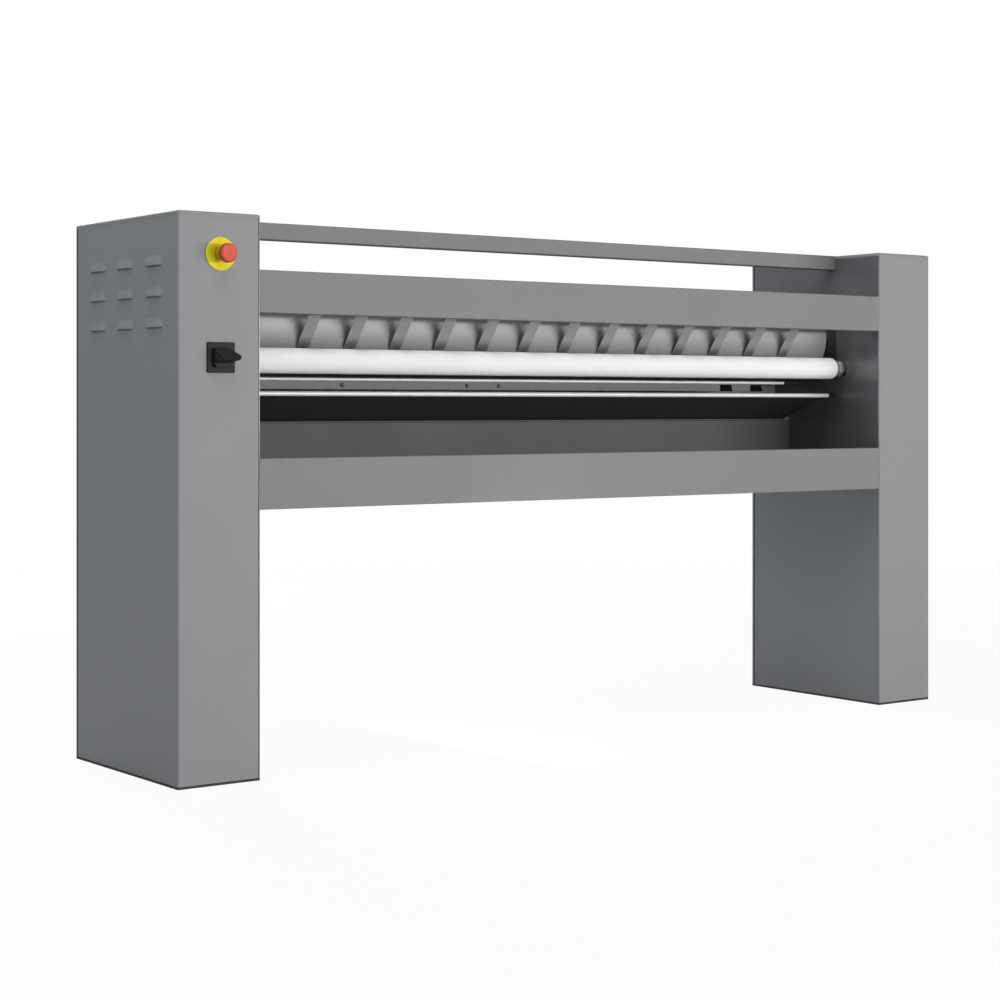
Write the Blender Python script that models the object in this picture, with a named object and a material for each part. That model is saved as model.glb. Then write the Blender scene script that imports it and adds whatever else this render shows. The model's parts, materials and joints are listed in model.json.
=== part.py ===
"""Flatwork ironer: two sheet cabinets carry a heated cylinder, a pressing roller, a guide comb,
a scraper plate, a hinged chute flap and a tray that collects the ironed linen.

Metres, +X to the right along the rollers, +Y to the back, +Z up. The origin is on the floor,
under the middle of everything that the machine reaches.
"""
import math

import bmesh
import bpy
from mathutils import Matrix, Vector

# Fits shared by every piece
seat_gap = 0.0003
overrun = 0.006
sheet = 0.0015
heavy_sheet = 0.003

# Smoothness of round pieces
drum_sides = 64
roller_sides = 40
round_sides = 32
small_sides = 16
screw_sides = 8
bend_steps = 3
hem_steps = 10
smooth_angle = math.radians(35)

# The whole machine
passage_width = 1.645
cabinet_width = 0.170
cabinet_depth = 0.4245
machine_height = 1.050
half_passage = passage_width / 2

# Cabinet walls
corner_radius = 0.008
edge_radius = 0.003
front_flange = 0.022
rear_flange = 0.018
panel_set_back = 0.0006
cover_thickness = 0.007
cover_edge = 0.005
base_thickness = 0.0045

# Louvres pressed out of the cabinet sides
louvre_columns = 3
louvre_rows = 3
louvre_width = 0.076
louvre_height = 0.019
louvre_rise = 0.007
louvre_taper = 0.012
louvre_pitch_y = 0.117
louvre_pitch_z = 0.057
louvre_drop = 0.096

# Upper cover, lower beam and top bar between the cabinets
upper_cover_drop = 0.102
upper_cover_height = 0.080
upper_cover_top_return = 0.030
upper_cover_bottom_return = 0.022
beam_drop = 0.453
beam_height = 0.095
beam_return = 0.025
bar_edge_radius = 0.0018
top_bar_size = 0.033
top_bar_wall = 0.002
top_bar_lead = 0.0855

# Tray and rear cover
tray_floor_rise = 0.058
tray_back_lag = 0.0685
tray_back_drop = 0.0585
tray_front_lip = 0.030
tray_ledge = 0.011
rear_cover_lap = 0.062
rear_cover_rise = 0.032
rear_cover_lag = 0.0185
rear_cover_height = 0.094
rear_cover_return = 0.020

# Heated cylinder
cylinder_radius = 0.100
cylinder_wall = 0.0045
cylinder_end_room = 0.0425
cylinder_offset = 0.01425
cylinder_drop = 0.194
flange_inset = 0.010
flange_thickness = 0.008
journal_radius = 0.030
journal_bore = 0.020
wall_opening_size = 0.178
wall_opening_corner = 0.030

# Cylinder bearings on their hat shaped plates
hat_below = 0.101
hat_above = 0.109
hat_half_depth = 0.155
hat_foot = 0.020
hat_rise = 0.030
bearing_radius = 0.055
bearing_hub_radius = 0.042
bearing_flange = 0.010
bearing_length = 0.027
bearing_passage = 0.004

# Heating elements through the hollow journals
element_count = 3
element_radius = 0.004
element_ring = 0.0105
element_stub = 0.003
element_cap = 0.008
element_cap_radius = 0.017
holder_sheet = 0.002
holder_half_width = 0.025
holder_above = 0.104
holder_web_height = 0.079
holder_below = 0.030
left_holder_reach = 0.122
right_holder_reach = 0.085

# Pressing roller
cloth_radius = 0.025
cloth_thickness = 0.0028
cloth_end_room = 0.031
roller_tube_wall = 0.0025
roller_lean = math.radians(54.1)
axle_radius = 0.0075
cap_radius = 0.0195
cap_groove_radius = 0.0165
cap_spigot = 0.020
cap_wall_gap = 0.004
cap_neck_share = 0.42
cap_groove_share = 0.62

# Pressure arms and springs
arm_length = 0.100
lever_length = 0.060
arm_width = 0.024
arm_start = 0.006
arm_thickness = 0.005
arm_release = math.radians(8)
axle_end_room = 0.003
pivot_radius = 0.006
pivot_head_radius = 0.010
pivot_head = 0.004
stud_radius = 0.0025
stud_length = 0.019
spring_drop = 0.100
spring_radius = 0.007
spring_wire = 0.0012
spring_turns = 9
spring_points = 8

# Belt drive
pulley_start = 0.075
pulley_width = 0.026
pulley_rim = 0.0025
pulley_rim_height = 0.005
cylinder_pulley_radius = 0.060
motor_pulley_radius = 0.028
belt_thickness = 0.003
belt_side_room = 0.0005
belt_steps = 24
motor_lead = 0.0165
motor_z = 0.340
gearbox_size = 0.100
gearbox_reach = 0.068
gearbox_bore_depth = 0.012
motor_shaft_radius = 0.009
can_radius = 0.045
can_length = 0.165
can_centre = 0.051
can_cap = 0.030
can_cap_radius = 0.041

# Guide comb above the nip
finger_count = 13
finger_pitch = 0.1075
comb_offset = -0.004
finger_width = 0.0285
finger_room = 0.0021
finger_angle = math.radians(207.8)
comb_room = 0.062
comb_angle = math.radians(165)
comb_top_drop = 0.018
comb_root_share = 0.12

# Scraper plate, its rail, screws and clips
hem_sheet = 0.0012
scraper_hem_radius = 0.0027
scraper_room = 0.011
scraper_angle = math.radians(256.2)
scraper_length = 0.085
scraper_end_room = 0.113
rail_gap = 0.0055
rail_height = 0.0217
clip_height = 0.0152
rail_foot = 0.020
clip_width = 0.034
clip_places = (0.532, 0.627)
clip_thickness = 0.004
rail_screw_places = (-0.514, -0.205, -0.122)
rail_screw_drop_share = 0.4

# Chute flap
flap_hem_radius = 0.0043
flap_lag = 0.020
flap_drop = 0.0386
flap_rear_room = 0.0012
flap_end_room = 0.0215
flap_pin_radius = 0.0024
flap_collar_radius = 0.0045
flap_pin_reach = 0.012
flap_thread = 0.006

# Emergency stop on the left front
control_x = 0.087
emergency_drop = 0.0762
legend_radius = 0.031
emergency_hole = 0.0113
neck_radius = 0.0125
neck_reach = 0.0185
plunger_radius = 0.0060
plunger_inside = 0.012
head_radius = 0.018
head_thickness = 0.012
head_reach = 0.0355
head_edge = 0.003
head_socket = 0.005
emergency_travel = 0.004
block_size = 0.030
block_depth = 0.045
block_neck = 0.012

# Main switch on the left front
switch_drop = 0.2665
switch_plate_size = 0.0565
switch_plate_thickness = 0.004
switch_plate_edge = 0.0015
knob_boss = 0.037
knob_boss_height = 0.007
knob_boss_edge = 0.003
knob_reach = 0.036
lever_start = 0.008
lever_tip = 0.026
lever_start_half_width = 0.003
lever_tip_half_width = 0.0045
lever_tip_drop = 0.002
lever_tip_thickness = 0.007
switch_shaft_radius = 0.004
switch_hole = 0.006
switch_shaft_inside = 0.014
switch_body_size = 0.045
switch_body_depth = 0.050

# Screws, gland and control box
screw_head_radius = 0.0045
screw_head_height = 0.002
screw_shank_radius = 0.0018
screw_shank_length = 0.008
screw_rows = 3
screw_end_room = 0.060
gland_lead = 0.0645
gland_z = 0.100
gland_nut_radius = 0.012
gland_nut_height = 0.008
gland_dome_radius = 0.0095
gland_dome_height = 0.007
gland_thread_radius = 0.008
gland_thread_length = 0.012
gland_locknut = 0.004
gland_bore = 0.005
box_reach = 0.075
box_depth = 0.150
box_front = 0.150
box_height = 0.220
box_drop = 0.0815
box_edge = 0.004

# Places worked out from the sizes above
rear_panel_depth = cabinet_depth + seat_gap
rear_reach = rear_panel_depth + sheet / 2 + screw_head_height
front_y = (knob_reach - rear_reach) / 2
wall_bottom = base_thickness + seat_gap
wall_top = machine_height - cover_thickness - seat_gap
inner_panel_back = sheet + seat_gap
upper_cover_top = machine_height - upper_cover_drop
upper_cover_bottom = upper_cover_top - upper_cover_height
beam_top = machine_height - beam_drop
beam_bottom = beam_top - beam_height
cylinder_end = half_passage - cylinder_end_room
cylinder_depth = cabinet_depth / 2 + cylinder_offset
cylinder_z = machine_height - cylinder_drop
roller_gap = cylinder_radius + cloth_radius + seat_gap
roller_depth = cylinder_depth - roller_gap * math.sin(roller_lean)
roller_z = cylinder_z - roller_gap * math.cos(roller_lean)
scraper_gap = cylinder_radius + scraper_room
scraper_depth = cylinder_depth + scraper_gap * math.cos(scraper_angle)
scraper_z = cylinder_z + scraper_gap * math.sin(scraper_angle)
rail_top = scraper_z + scraper_hem_radius - hem_sheet / 2 - seat_gap
rail_bottom = rail_top - rail_height
flap_depth = roller_depth + flap_lag
flap_z = roller_z - cloth_radius - flap_drop
tray_floor_z = beam_bottom + tray_floor_rise
tray_back_depth = cylinder_depth + tray_back_lag
tray_back_top = flap_z - tray_back_drop
rear_cover_depth = cylinder_depth + cylinder_radius + rear_cover_lag
motor_depth = cylinder_depth - motor_lead


def deep(depth):
    """Y of a place that lies this far behind the cabinets' front faces."""
    return front_y + depth


def finish(name, colour, roughness, metallic):
    """A plain Principled material."""
    material = bpy.data.materials.new(name)
    material.use_nodes = True
    shader = material.node_tree.nodes["Principled BSDF"]
    shader.inputs["Base Color"].default_value = (*colour, 1)
    shader.inputs["Roughness"].default_value = roughness
    shader.inputs["Metallic"].default_value = metallic
    return material


def add_object(name, shape, material, smooth=False):
    """Turn a bmesh into an object with outward faces."""
    bmesh.ops.recalc_face_normals(shape, faces=shape.faces)
    mesh = bpy.data.meshes.new(name)
    shape.to_mesh(mesh)
    shape.free()
    if smooth:
        mesh.shade_smooth()
        mesh.set_sharp_from_angle(angle=smooth_angle)
    mesh.materials.append(material)
    piece = bpy.data.objects.new(name, mesh)
    bpy.context.scene.collection.objects.link(piece)
    return piece


def set_origin(piece, place):
    """Put a moving piece's origin on its joint's axis."""
    piece.data.transform(Matrix.Translation(-Vector(place)))
    piece.location = place


def combine(piece, tool, operation):
    """Cut or join one solid with another, which is used up."""
    change = piece.modifiers.new(operation, "BOOLEAN")
    change.operation = operation
    change.object = tool
    graph = bpy.context.evaluated_depsgraph_get()
    mesh = bpy.data.meshes.new_from_object(piece.evaluated_get(graph))
    piece.modifiers.remove(change)
    old = piece.data
    piece.data = mesh
    bpy.data.meshes.remove(old)
    bpy.data.objects.remove(tool)


def spot(axis, along, across, up):
    """A point from a length along an axis and two lengths across it."""
    if axis == "X":
        return Vector((along, across, up))
    if axis == "Y":
        return Vector((across, along, up))
    return Vector((across, up, along))


def add_prism(shape, outline, axis, start, end):
    """Extrude a closed outline along an axis, into the bmesh."""
    near = [shape.verts.new(spot(axis, start, *point)) for point in outline]
    far = [shape.verts.new(spot(axis, end, *point)) for point in outline]
    shape.faces.new(near)
    shape.faces.new(list(reversed(far)))
    for index in range(len(outline)):
        after = (index + 1) % len(outline)
        shape.faces.new((near[index], far[index], far[after], near[after]))


def prism(outline, axis, start, end):
    """A bmesh that holds one extruded outline."""
    shape = bmesh.new()
    add_prism(shape, outline, axis, start, end)
    return shape


def add_block(shape, low, high):
    """A box between two corners, into the bmesh."""
    outline = ((low[0], low[1]), (high[0], low[1]), (high[0], high[1]), (low[0], high[1]))
    add_prism(shape, outline, "Z", low[2], high[2])


def block(low, high):
    """A bmesh that holds one box."""
    shape = bmesh.new()
    add_block(shape, low, high)
    return shape


def add_turned(shape, profile, axis, centre, sides):
    """Turn a profile of (along, radius) points round an axis. A profile that starts and ends
    on the axis is closed by its poles, any other by joining its last point to its first."""
    rings = []
    for along, radius in profile:
        turn = 1 if radius == 0 else sides
        ring = []
        for index in range(turn):
            angle = math.tau * (index + 0.5) / sides
            across = centre[0] + radius * math.cos(angle)
            up = centre[1] + radius * math.sin(angle)
            ring.append(shape.verts.new(spot(axis, along, across, up)))
        rings.append(ring)
    pairs = list(zip(rings, rings[1:]))
    if len(rings[0]) > 1:
        pairs.append((rings[-1], rings[0]))
    for first, second in pairs:
        for index in range(sides):
            after = (index + 1) % sides
            corners = [first[index % len(first)], first[after % len(first)],
                       second[after % len(second)], second[index % len(second)]]
            shape.faces.new(list(dict.fromkeys(corners)))


def turned(profile, axis, centre, sides):
    """A bmesh that holds one turned profile."""
    shape = bmesh.new()
    add_turned(shape, profile, axis, centre, sides)
    return shape


def rod_profile(start, end, radius):
    """The profile of a plain rod."""
    return [(start, 0), (start, radius), (end, radius), (end, 0)]


def pipe_profile(start, end, outer, inner):
    """The profile of a plain pipe."""
    return [(start, inner), (start, outer), (end, outer), (end, inner)]


def rounded_path(corners, radii, steps):
    """Round the inner corners of a path with arcs."""
    points = [Vector(corners[0])]
    for before, corner, after, radius in zip(corners, corners[1:], corners[2:], radii):
        corner = Vector(corner)
        inward = (Vector(before) - corner).normalized()
        outward = (Vector(after) - corner).normalized()
        half_angle = inward.angle(outward) / 2
        reach = radius / math.tan(half_angle)
        middle = corner + (inward + outward).normalized() * (radius / math.sin(half_angle))
        first = corner + inward * reach - middle
        last = corner + outward * reach - middle
        turn = first.angle_signed(last)
        for step in range(steps + 1):
            angle = -turn * step / steps
            points.append(middle + Matrix.Rotation(angle, 2) @ first)
    points.append(Vector(corners[-1]))
    return points


def sheet_outline(path, left, right):
    """The closed outline of a sheet that follows a path, with a thickness on either side."""
    directions = [(b - a).normalized() for a, b in zip(path, path[1:])]
    normals = [Vector((-d.y, d.x)) for d in directions]
    before = [normals[0]] + normals
    after = normals + [normals[-1]]
    mitres = [(a + b) / (1 + a.dot(b)) for a, b in zip(before, after)]
    one_side = [p + m * left for p, m in zip(path, mitres)]
    other_side = [p - m * right for p, m in zip(path, mitres)]
    return [tuple(p) for p in one_side + other_side[::-1]]


def strap_outline(path, half_width, steps):
    """The outline of a flat bar with round ends that follows a path."""
    middle = sheet_outline(path, half_width, half_width)
    count = len(path)
    ends = []
    for end, inward in ((path[-1], path[-2]), (path[0], path[1])):
        heading = (end - inward).normalized()
        start = Vector((-heading.y, heading.x)) * half_width
        turns = [Matrix.Rotation(-math.pi * step / steps, 2) for step in range(1, steps)]
        ends.append([tuple(end + turn @ start) for turn in turns])
    return middle[:count] + ends[0] + middle[count:] + ends[1]


def hem_path(centre, radius, heading, length):
    """A path that curls under a rolled front edge and then runs straight back."""
    sweep = math.radians(290)
    direction = Vector((math.cos(heading), math.sin(heading)))
    points = []
    for step in range(hem_steps, -1, -1):
        angle = heading + math.pi / 2 + sweep * step / hem_steps
        points.append(Vector(centre) + Vector((math.cos(angle), math.sin(angle))) * radius)
    points.append(points[-1] + direction * length)
    return points


def cabinet_outline(side, depth, inset):
    """The plan of a cabinet as an outline in X and Y, drawn in by an inset."""
    far = cabinet_width - inset
    path = ((inset, inset), (far, inset), (far, depth - inset), (inset, depth - inset))
    corner = rounded_path(path[:3], (corner_radius - inset,), bend_steps)
    plan = corner + [Vector(path[3])]
    return [(side * (half_passage + u), deep(v)) for u, v in plan]


def make_lid(name, side, depth, paint):
    """Top cover of a cabinet, with a rounded upper edge."""
    shape = bmesh.new()
    levels = [(0, wall_top + seat_gap)]
    for step in range(bend_steps + 1):
        angle = math.pi / 2 * step / bend_steps
        inset = cover_edge * (1 - math.cos(angle))
        levels.append((inset, machine_height - cover_edge * (1 - math.sin(angle))))
    rings = []
    for inset, height in levels:
        rings.append([shape.verts.new((x, y, height)) for x, y in cabinet_outline(side, depth, inset)])
    shape.faces.new(rings[0])
    shape.faces.new(rings[-1])
    for lower, upper in zip(rings, rings[1:]):
        for index in range(len(lower)):
            after = (index + 1) % len(lower)
            shape.faces.new((lower[index], lower[after], upper[after], upper[index]))
    add_object(name, shape, paint, True)


def cabinet_walls(side, outline, bottom, top):
    """Extrude an outline of (distance from the inner face, depth) upwards in a cabinet."""
    places = [(side * (half_passage + u), deep(v)) for u, v in outline]
    return prism(places, "Z", bottom, top)


def louvre_wedge(shape, side, centre_y, bottom_z, inset, drop):
    """One hipped wedge that stands on a cabinet side, narrowed by an inset."""
    root = side * (half_passage + cabinet_width - sheet / 2 - inset)
    crest = side * (half_passage + cabinet_width + louvre_rise - inset)
    half = louvre_width / 2 - inset
    half_crest = half - louvre_taper
    low = bottom_z - drop
    high = bottom_z + louvre_height - inset
    base = [(root, centre_y - half, low), (root, centre_y + half, low),
            (root, centre_y + half, high), (root, centre_y - half, high)]
    ridge = [(crest, centre_y - half_crest, low), (crest, centre_y + half_crest, low)]
    verts = [shape.verts.new(place) for place in base + ridge]
    for face in ((0, 1, 2, 3), (0, 1, 5, 4), (3, 2, 5, 4), (0, 4, 3), (1, 5, 2)):
        shape.faces.new([verts[index] for index in face])


def louvre_places():
    """Depth and height of each louvre's lower edge."""
    for row in range(louvre_rows):
        for column in range(louvre_columns):
            offset = (column - (louvre_columns - 1) / 2) * louvre_pitch_y
            yield deep(cabinet_depth / 2 + offset), machine_height - louvre_drop - row * louvre_pitch_z


def press_louvres(shell, side, paint):
    """Press the hoods out of a cabinet side and open the wall behind them."""
    hoods = bmesh.new()
    hollows = bmesh.new()
    slots = bmesh.new()
    wall = side * (half_passage + cabinet_width - sheet / 2)
    for centre_y, bottom_z in louvre_places():
        louvre_wedge(hoods, side, centre_y, bottom_z, 0, 0)
        louvre_wedge(hollows, side, centre_y, bottom_z, sheet, overrun)
        half = louvre_width / 2 - louvre_taper
        low = (wall - sheet, centre_y - half, bottom_z + sheet)
        high = (wall + sheet, centre_y + half, bottom_z + louvre_height / 2)
        add_block(slots, low, high)
    hood_piece = add_object("hoods", hoods, paint)
    combine(hood_piece, add_object("hollows", hollows, paint), "DIFFERENCE")
    combine(shell, add_object("slots", slots, paint), "DIFFERENCE")
    combine(shell, hood_piece, "UNION")


def screw_places(side):
    """X and Z of the screws that hold a rear panel."""
    middle = rear_flange / 2
    low = wall_bottom + screw_end_room
    high = wall_top - screw_end_room
    for row in range(screw_rows):
        height = low + (high - low) * row / (screw_rows - 1)
        for u in (middle, cabinet_width - middle):
            yield side * (half_passage + u), height


def drill_screws(piece, side, paint):
    """Open the holes for a rear panel's screws in a cabinet's flange."""
    holes = bmesh.new()
    start = deep(cabinet_depth - overrun)
    end = deep(cabinet_depth + overrun)
    for place in screw_places(side):
        add_turned(holes, rod_profile(start, end, screw_shank_radius + seat_gap), "Y", place, screw_sides)
    combine(piece, add_object("holes", holes, paint), "DIFFERENCE")


def screw_profile(seat, outward):
    """A panel screw whose head sits on a face and points one way."""
    head = seat + outward * screw_head_height
    tip = seat - outward * screw_shank_length
    profile = [(head, 0), (head, screw_head_radius / 2), (seat, screw_head_radius), (seat, screw_shank_radius),
               (tip, screw_shank_radius), (tip, 0)]
    return [(deep(depth), radius) for depth, radius in profile]


def drill(piece, axis, centre, start, end, radius, sides=small_sides):
    """Open one round hole through a piece."""
    hole = add_object("hole", turned(rod_profile(start, end, radius), axis, centre, sides), piece.data.materials[0])
    combine(piece, hole, "DIFFERENCE")


def make_shell(name, side, paint):
    """Outer side and front of a cabinet, folded from one sheet, with louvres in the side."""
    inner = inner_panel_back
    corners = ((inner, front_flange), (inner, 0), (cabinet_width, 0), (cabinet_width, cabinet_depth),
               (cabinet_width - rear_flange, cabinet_depth))
    path = rounded_path(corners, (edge_radius, corner_radius, edge_radius), bend_steps)
    outline = sheet_outline(path, sheet, 0)
    shell = add_object(name, cabinet_walls(side, outline, wall_bottom, wall_top), paint)
    drill_screws(shell, side, paint)
    press_louvres(shell, side, paint)
    return shell


def make_inner_panel(name, side, paint):
    """Inner side of a cabinet, with its openings for the cylinder, axle, pins and studs."""
    corners = ((0, panel_set_back), (0, cabinet_depth), (rear_flange, cabinet_depth))
    path = rounded_path(corners, (edge_radius,), bend_steps)
    outline = sheet_outline(path, 0, sheet)
    panel = add_object(name, cabinet_walls(side, outline, wall_bottom, wall_top), paint)
    near = side * (half_passage - overrun)
    far = side * (half_passage + sheet + overrun)
    centre = (deep(cylinder_depth), cylinder_z)
    opening = rounded_square(centre, wall_opening_size, wall_opening_corner)
    combine(panel, add_object("opening", prism(opening, "X", near, far), paint), "DIFFERENCE")
    drill(panel, "X", (deep(flap_depth), flap_z), near, far, flap_pin_radius + 2 * seat_gap)
    slot = strap_outline([roller_place(0), roller_place(arm_release)], axle_radius + sheet, small_sides // 2)
    combine(panel, add_object("slot", prism(slot, "X", near, far), paint), "DIFFERENCE")
    drill_screws(panel, side, paint)
    stud_start = side * (half_passage + sheet / 2)
    stud_end = side * (half_passage + arm_start + arm_thickness + stud_length)
    stud = turned(rod_profile(stud_start, stud_end, stud_radius), "X", spring_place(-spring_drop), small_sides)
    combine(panel, add_object("stud", stud, paint), "UNION")
    return panel


def roller_place(release):
    """Y and Z of the roller's axis when the arms are turned by an angle."""
    pivot = pivot_place()
    rest = Vector((deep(roller_depth), roller_z)) - pivot
    return pivot + Matrix.Rotation(release, 2) @ rest


def pivot_place():
    """Y and Z of the arms' pivot, square to the line from cylinder to roller."""
    line = Vector((cylinder_depth - roller_depth, cylinder_z - roller_z)).normalized()
    across = Vector((line.y, -line.x))
    return Vector((deep(roller_depth), roller_z)) + across * arm_length


def spring_place(rise):
    """Y and Z on the spring's line, at a height over the lever's end."""
    return pivot_place() + Vector((lever_length, rise))


def make_cabinet(word, side, paints):
    """The sheets that enclose one cabinet."""
    make_shell(word + "_shell", side, paints["paint"])
    panel = make_inner_panel(word + "_inner_panel", side, paints["paint"])
    full_depth = rear_panel_depth + sheet
    make_lid(word + "_top_cover", side, full_depth, paints["paint"])
    base = prism(cabinet_outline(side, full_depth, 0), "Z", 0, base_thickness)
    add_object(word + "_base", base, paints["dark"])
    make_rear_panel(word + "_rear_panel", side, full_depth, paints["paint"])
    return panel


def make_rear_panel(name, side, full_depth, paint):
    """Rear sheet of a cabinet with its captive screws."""
    near = side * half_passage
    far = side * (half_passage + cabinet_width)
    low = (min(near, far), deep(rear_panel_depth), wall_bottom)
    high = (max(near, far), deep(full_depth), wall_top)
    panel = add_object(name, block(low, high), paint)
    screws = bmesh.new()
    profile = screw_profile(full_depth - sheet / 2, 1)
    for place in screw_places(side):
        add_turned(screws, profile, "Y", place, screw_sides)
    combine(panel, add_object("screws", screws, paint), "UNION")


def across_passage(outline, room):
    """Extrude an outline of (depth, height) from one inner wall to the other."""
    places = [(deep(v), z) for v, z in outline]
    return prism(places, "X", room - half_passage, half_passage - room)


def make_channel(name, top, bottom, top_return, bottom_return, paint):
    """A front sheet folded back along its upper and lower edge."""
    corners = ((top_return, top), (0, top), (0, bottom), (bottom_return, bottom))
    path = rounded_path(corners, (bar_edge_radius, bar_edge_radius), bend_steps)
    add_object(name, across_passage(sheet_outline(path, sheet, 0), seat_gap), paint)


def make_top_bar(paint):
    """Square tube between the cabinets, level with their covers."""
    front = cylinder_depth - top_bar_lead
    low = (seat_gap - half_passage, deep(front), machine_height - top_bar_size)
    high = (half_passage - seat_gap, deep(front + top_bar_size), machine_height)
    bar = add_object("rear_top_bar", block(low, high), paint)
    hollow_low = [value + top_bar_wall for value in low]
    hollow_high = [value - top_bar_wall for value in high]
    hollow_low[0] = low[0] - overrun
    hollow_high[0] = high[0] + overrun
    combine(bar, add_object("hollow", block(hollow_low, hollow_high), paint), "DIFFERENCE")


def make_tray(paint):
    """Tray floor with a front lip behind the beam, a back panel and a ledge for the flap."""
    lip = inner_panel_back
    floor = tray_floor_z - sheet
    back = tray_back_depth + sheet
    top = tray_back_top + sheet
    corners = ((lip, tray_floor_z + tray_front_lip), (lip, floor), (back, floor), (back, top),
               (back - tray_ledge, top))
    radii = (edge_radius, edge_radius, edge_radius)
    path = rounded_path(corners, radii, bend_steps)
    add_object("collecting_tray", across_passage(sheet_outline(path, sheet, 0), seat_gap), paint)


def make_rear_cover(paint):
    """Sheet that closes the back behind the cylinder, screwed to the tray's back panel."""
    lap = tray_back_depth + sheet + seat_gap
    bend = tray_back_top + sheet + edge_radius
    top = cylinder_z + rear_cover_height
    corners = ((lap, tray_back_top - rear_cover_lap), (lap, bend), (rear_cover_depth, bend + rear_cover_rise),
               (rear_cover_depth, top), (rear_cover_depth - rear_cover_return, top))
    radii = (edge_radius, edge_radius, edge_radius)
    path = rounded_path(corners, radii, bend_steps)
    add_object("rear_cover", across_passage(sheet_outline(path, 0, sheet), seat_gap), paint)


def make_cylinder(steel):
    """The heated cylinder, a polished tube."""
    profile = pipe_profile(-cylinder_end, cylinder_end, cylinder_radius, cylinder_radius - cylinder_wall)
    centre = (deep(cylinder_depth), cylinder_z)
    cylinder = add_object("heated_cylinder", turned(profile, "X", centre, drum_sides), steel, True)
    set_origin(cylinder, (0, *centre))


def make_end_flange(name, side, reach, steel):
    """Disc in the end of the cylinder, with the hollow journal that carries it."""
    centre = (deep(cylinder_depth), cylinder_z)
    face = cylinder_end - flange_inset
    disc = cylinder_radius - cylinder_wall - seat_gap
    end = half_passage + reach
    profile = [(face - flange_thickness, journal_bore), (face - flange_thickness, disc), (face, disc),
               (face, journal_radius), (end, journal_radius), (end, journal_bore)]
    profile = [(side * along, radius) for along, radius in profile]
    flange = add_object(name, turned(profile, "X", centre, round_sides), steel, True)
    set_origin(flange, (0, *centre))


def bearing_start():
    """Distance from the inner wall to the outer face of the hat shaped plate."""
    return inner_panel_back + hat_rise + seat_gap


def make_bearing(word, side, paints):
    """Flange bearing on a hat shaped plate behind the inner panel."""
    foot = inner_panel_back
    rise = inner_panel_back + hat_rise - heavy_sheet
    start = cylinder_depth - hat_half_depth
    end = cylinder_depth + hat_half_depth
    front = start + hat_foot
    rear = end - hat_foot
    corners = ((foot, start), (foot, front), (rise, front), (rise, rear), (foot, rear), (foot, end))
    path = [Vector(corner) for corner in corners]
    outline = sheet_outline(path, 0, heavy_sheet)
    shape = cabinet_walls(side, outline, cylinder_z - hat_below, cylinder_z + hat_above)
    plate = add_object(word + "_bearing_plate", shape, paints["zinc"])
    centre = (deep(cylinder_depth), cylinder_z)
    near = side * (half_passage + rise - overrun)
    far = side * (half_passage + rise + heavy_sheet + overrun)
    drill(plate, "X", centre, near, far, journal_radius + bearing_passage, round_sides)
    start = half_passage + bearing_start()
    bore = journal_radius + seat_gap
    profile = [(start, bore), (start, bearing_radius), (start + bearing_flange, bearing_radius),
               (start + bearing_flange, bearing_hub_radius), (start + bearing_length, bearing_hub_radius),
               (start + bearing_length, bore)]
    profile = [(side * along, radius) for along, radius in profile]
    add_object(word + "_bearing", turned(profile, "X", centre, round_sides), paints["iron"], True)


def element_place(index):
    """Y and Z of one heating element."""
    angle = math.pi / 2 + math.tau * index / element_count
    return (deep(cylinder_depth) + element_ring * math.cos(angle), cylinder_z + element_ring * math.sin(angle))


def make_element_holder(name, side, reach, zinc):
    """Bent strip that holds the ends of the heating elements still."""
    start = bearing_start()
    top = cylinder_z + holder_above
    web = cylinder_z + holder_web_height
    corners = ((start, top), (start, web), (reach, web), (reach, cylinder_z - holder_below))
    outline = sheet_outline([Vector(corner) for corner in corners], holder_sheet, 0)
    places = [(side * (half_passage + u), z) for u, z in outline]
    shape = prism(places, "Y", deep(cylinder_depth) - holder_half_width, deep(cylinder_depth) + holder_half_width)
    holder = add_object(name, shape, zinc)
    near = side * (half_passage + reach - overrun)
    far = side * (half_passage + reach + overrun)
    for index in range(element_count):
        drill(holder, "X", element_place(index), near, far, element_radius + seat_gap, small_sides)


def make_element(steel):
    """Bundle of heating rods between two end caps, which stands still inside the cylinder."""
    start = -(half_passage + left_holder_reach + element_stub + element_cap)
    end = half_passage + right_holder_reach + element_stub + element_cap
    centre = (deep(cylinder_depth), cylinder_z)
    caps = turned(rod_profile(start, start + element_cap, element_cap_radius), "X", centre, round_sides)
    add_turned(caps, rod_profile(end - element_cap, end, element_cap_radius), "X", centre, round_sides)
    element = add_object("heating_element", caps, steel, True)
    rods = bmesh.new()
    reach = element_cap / 2
    for index in range(element_count):
        profile = rod_profile(start + reach, end - reach, element_radius)
        add_turned(rods, profile, "X", element_place(index), small_sides)
    combine(element, add_object("rods", rods, steel, True), "UNION")


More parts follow.
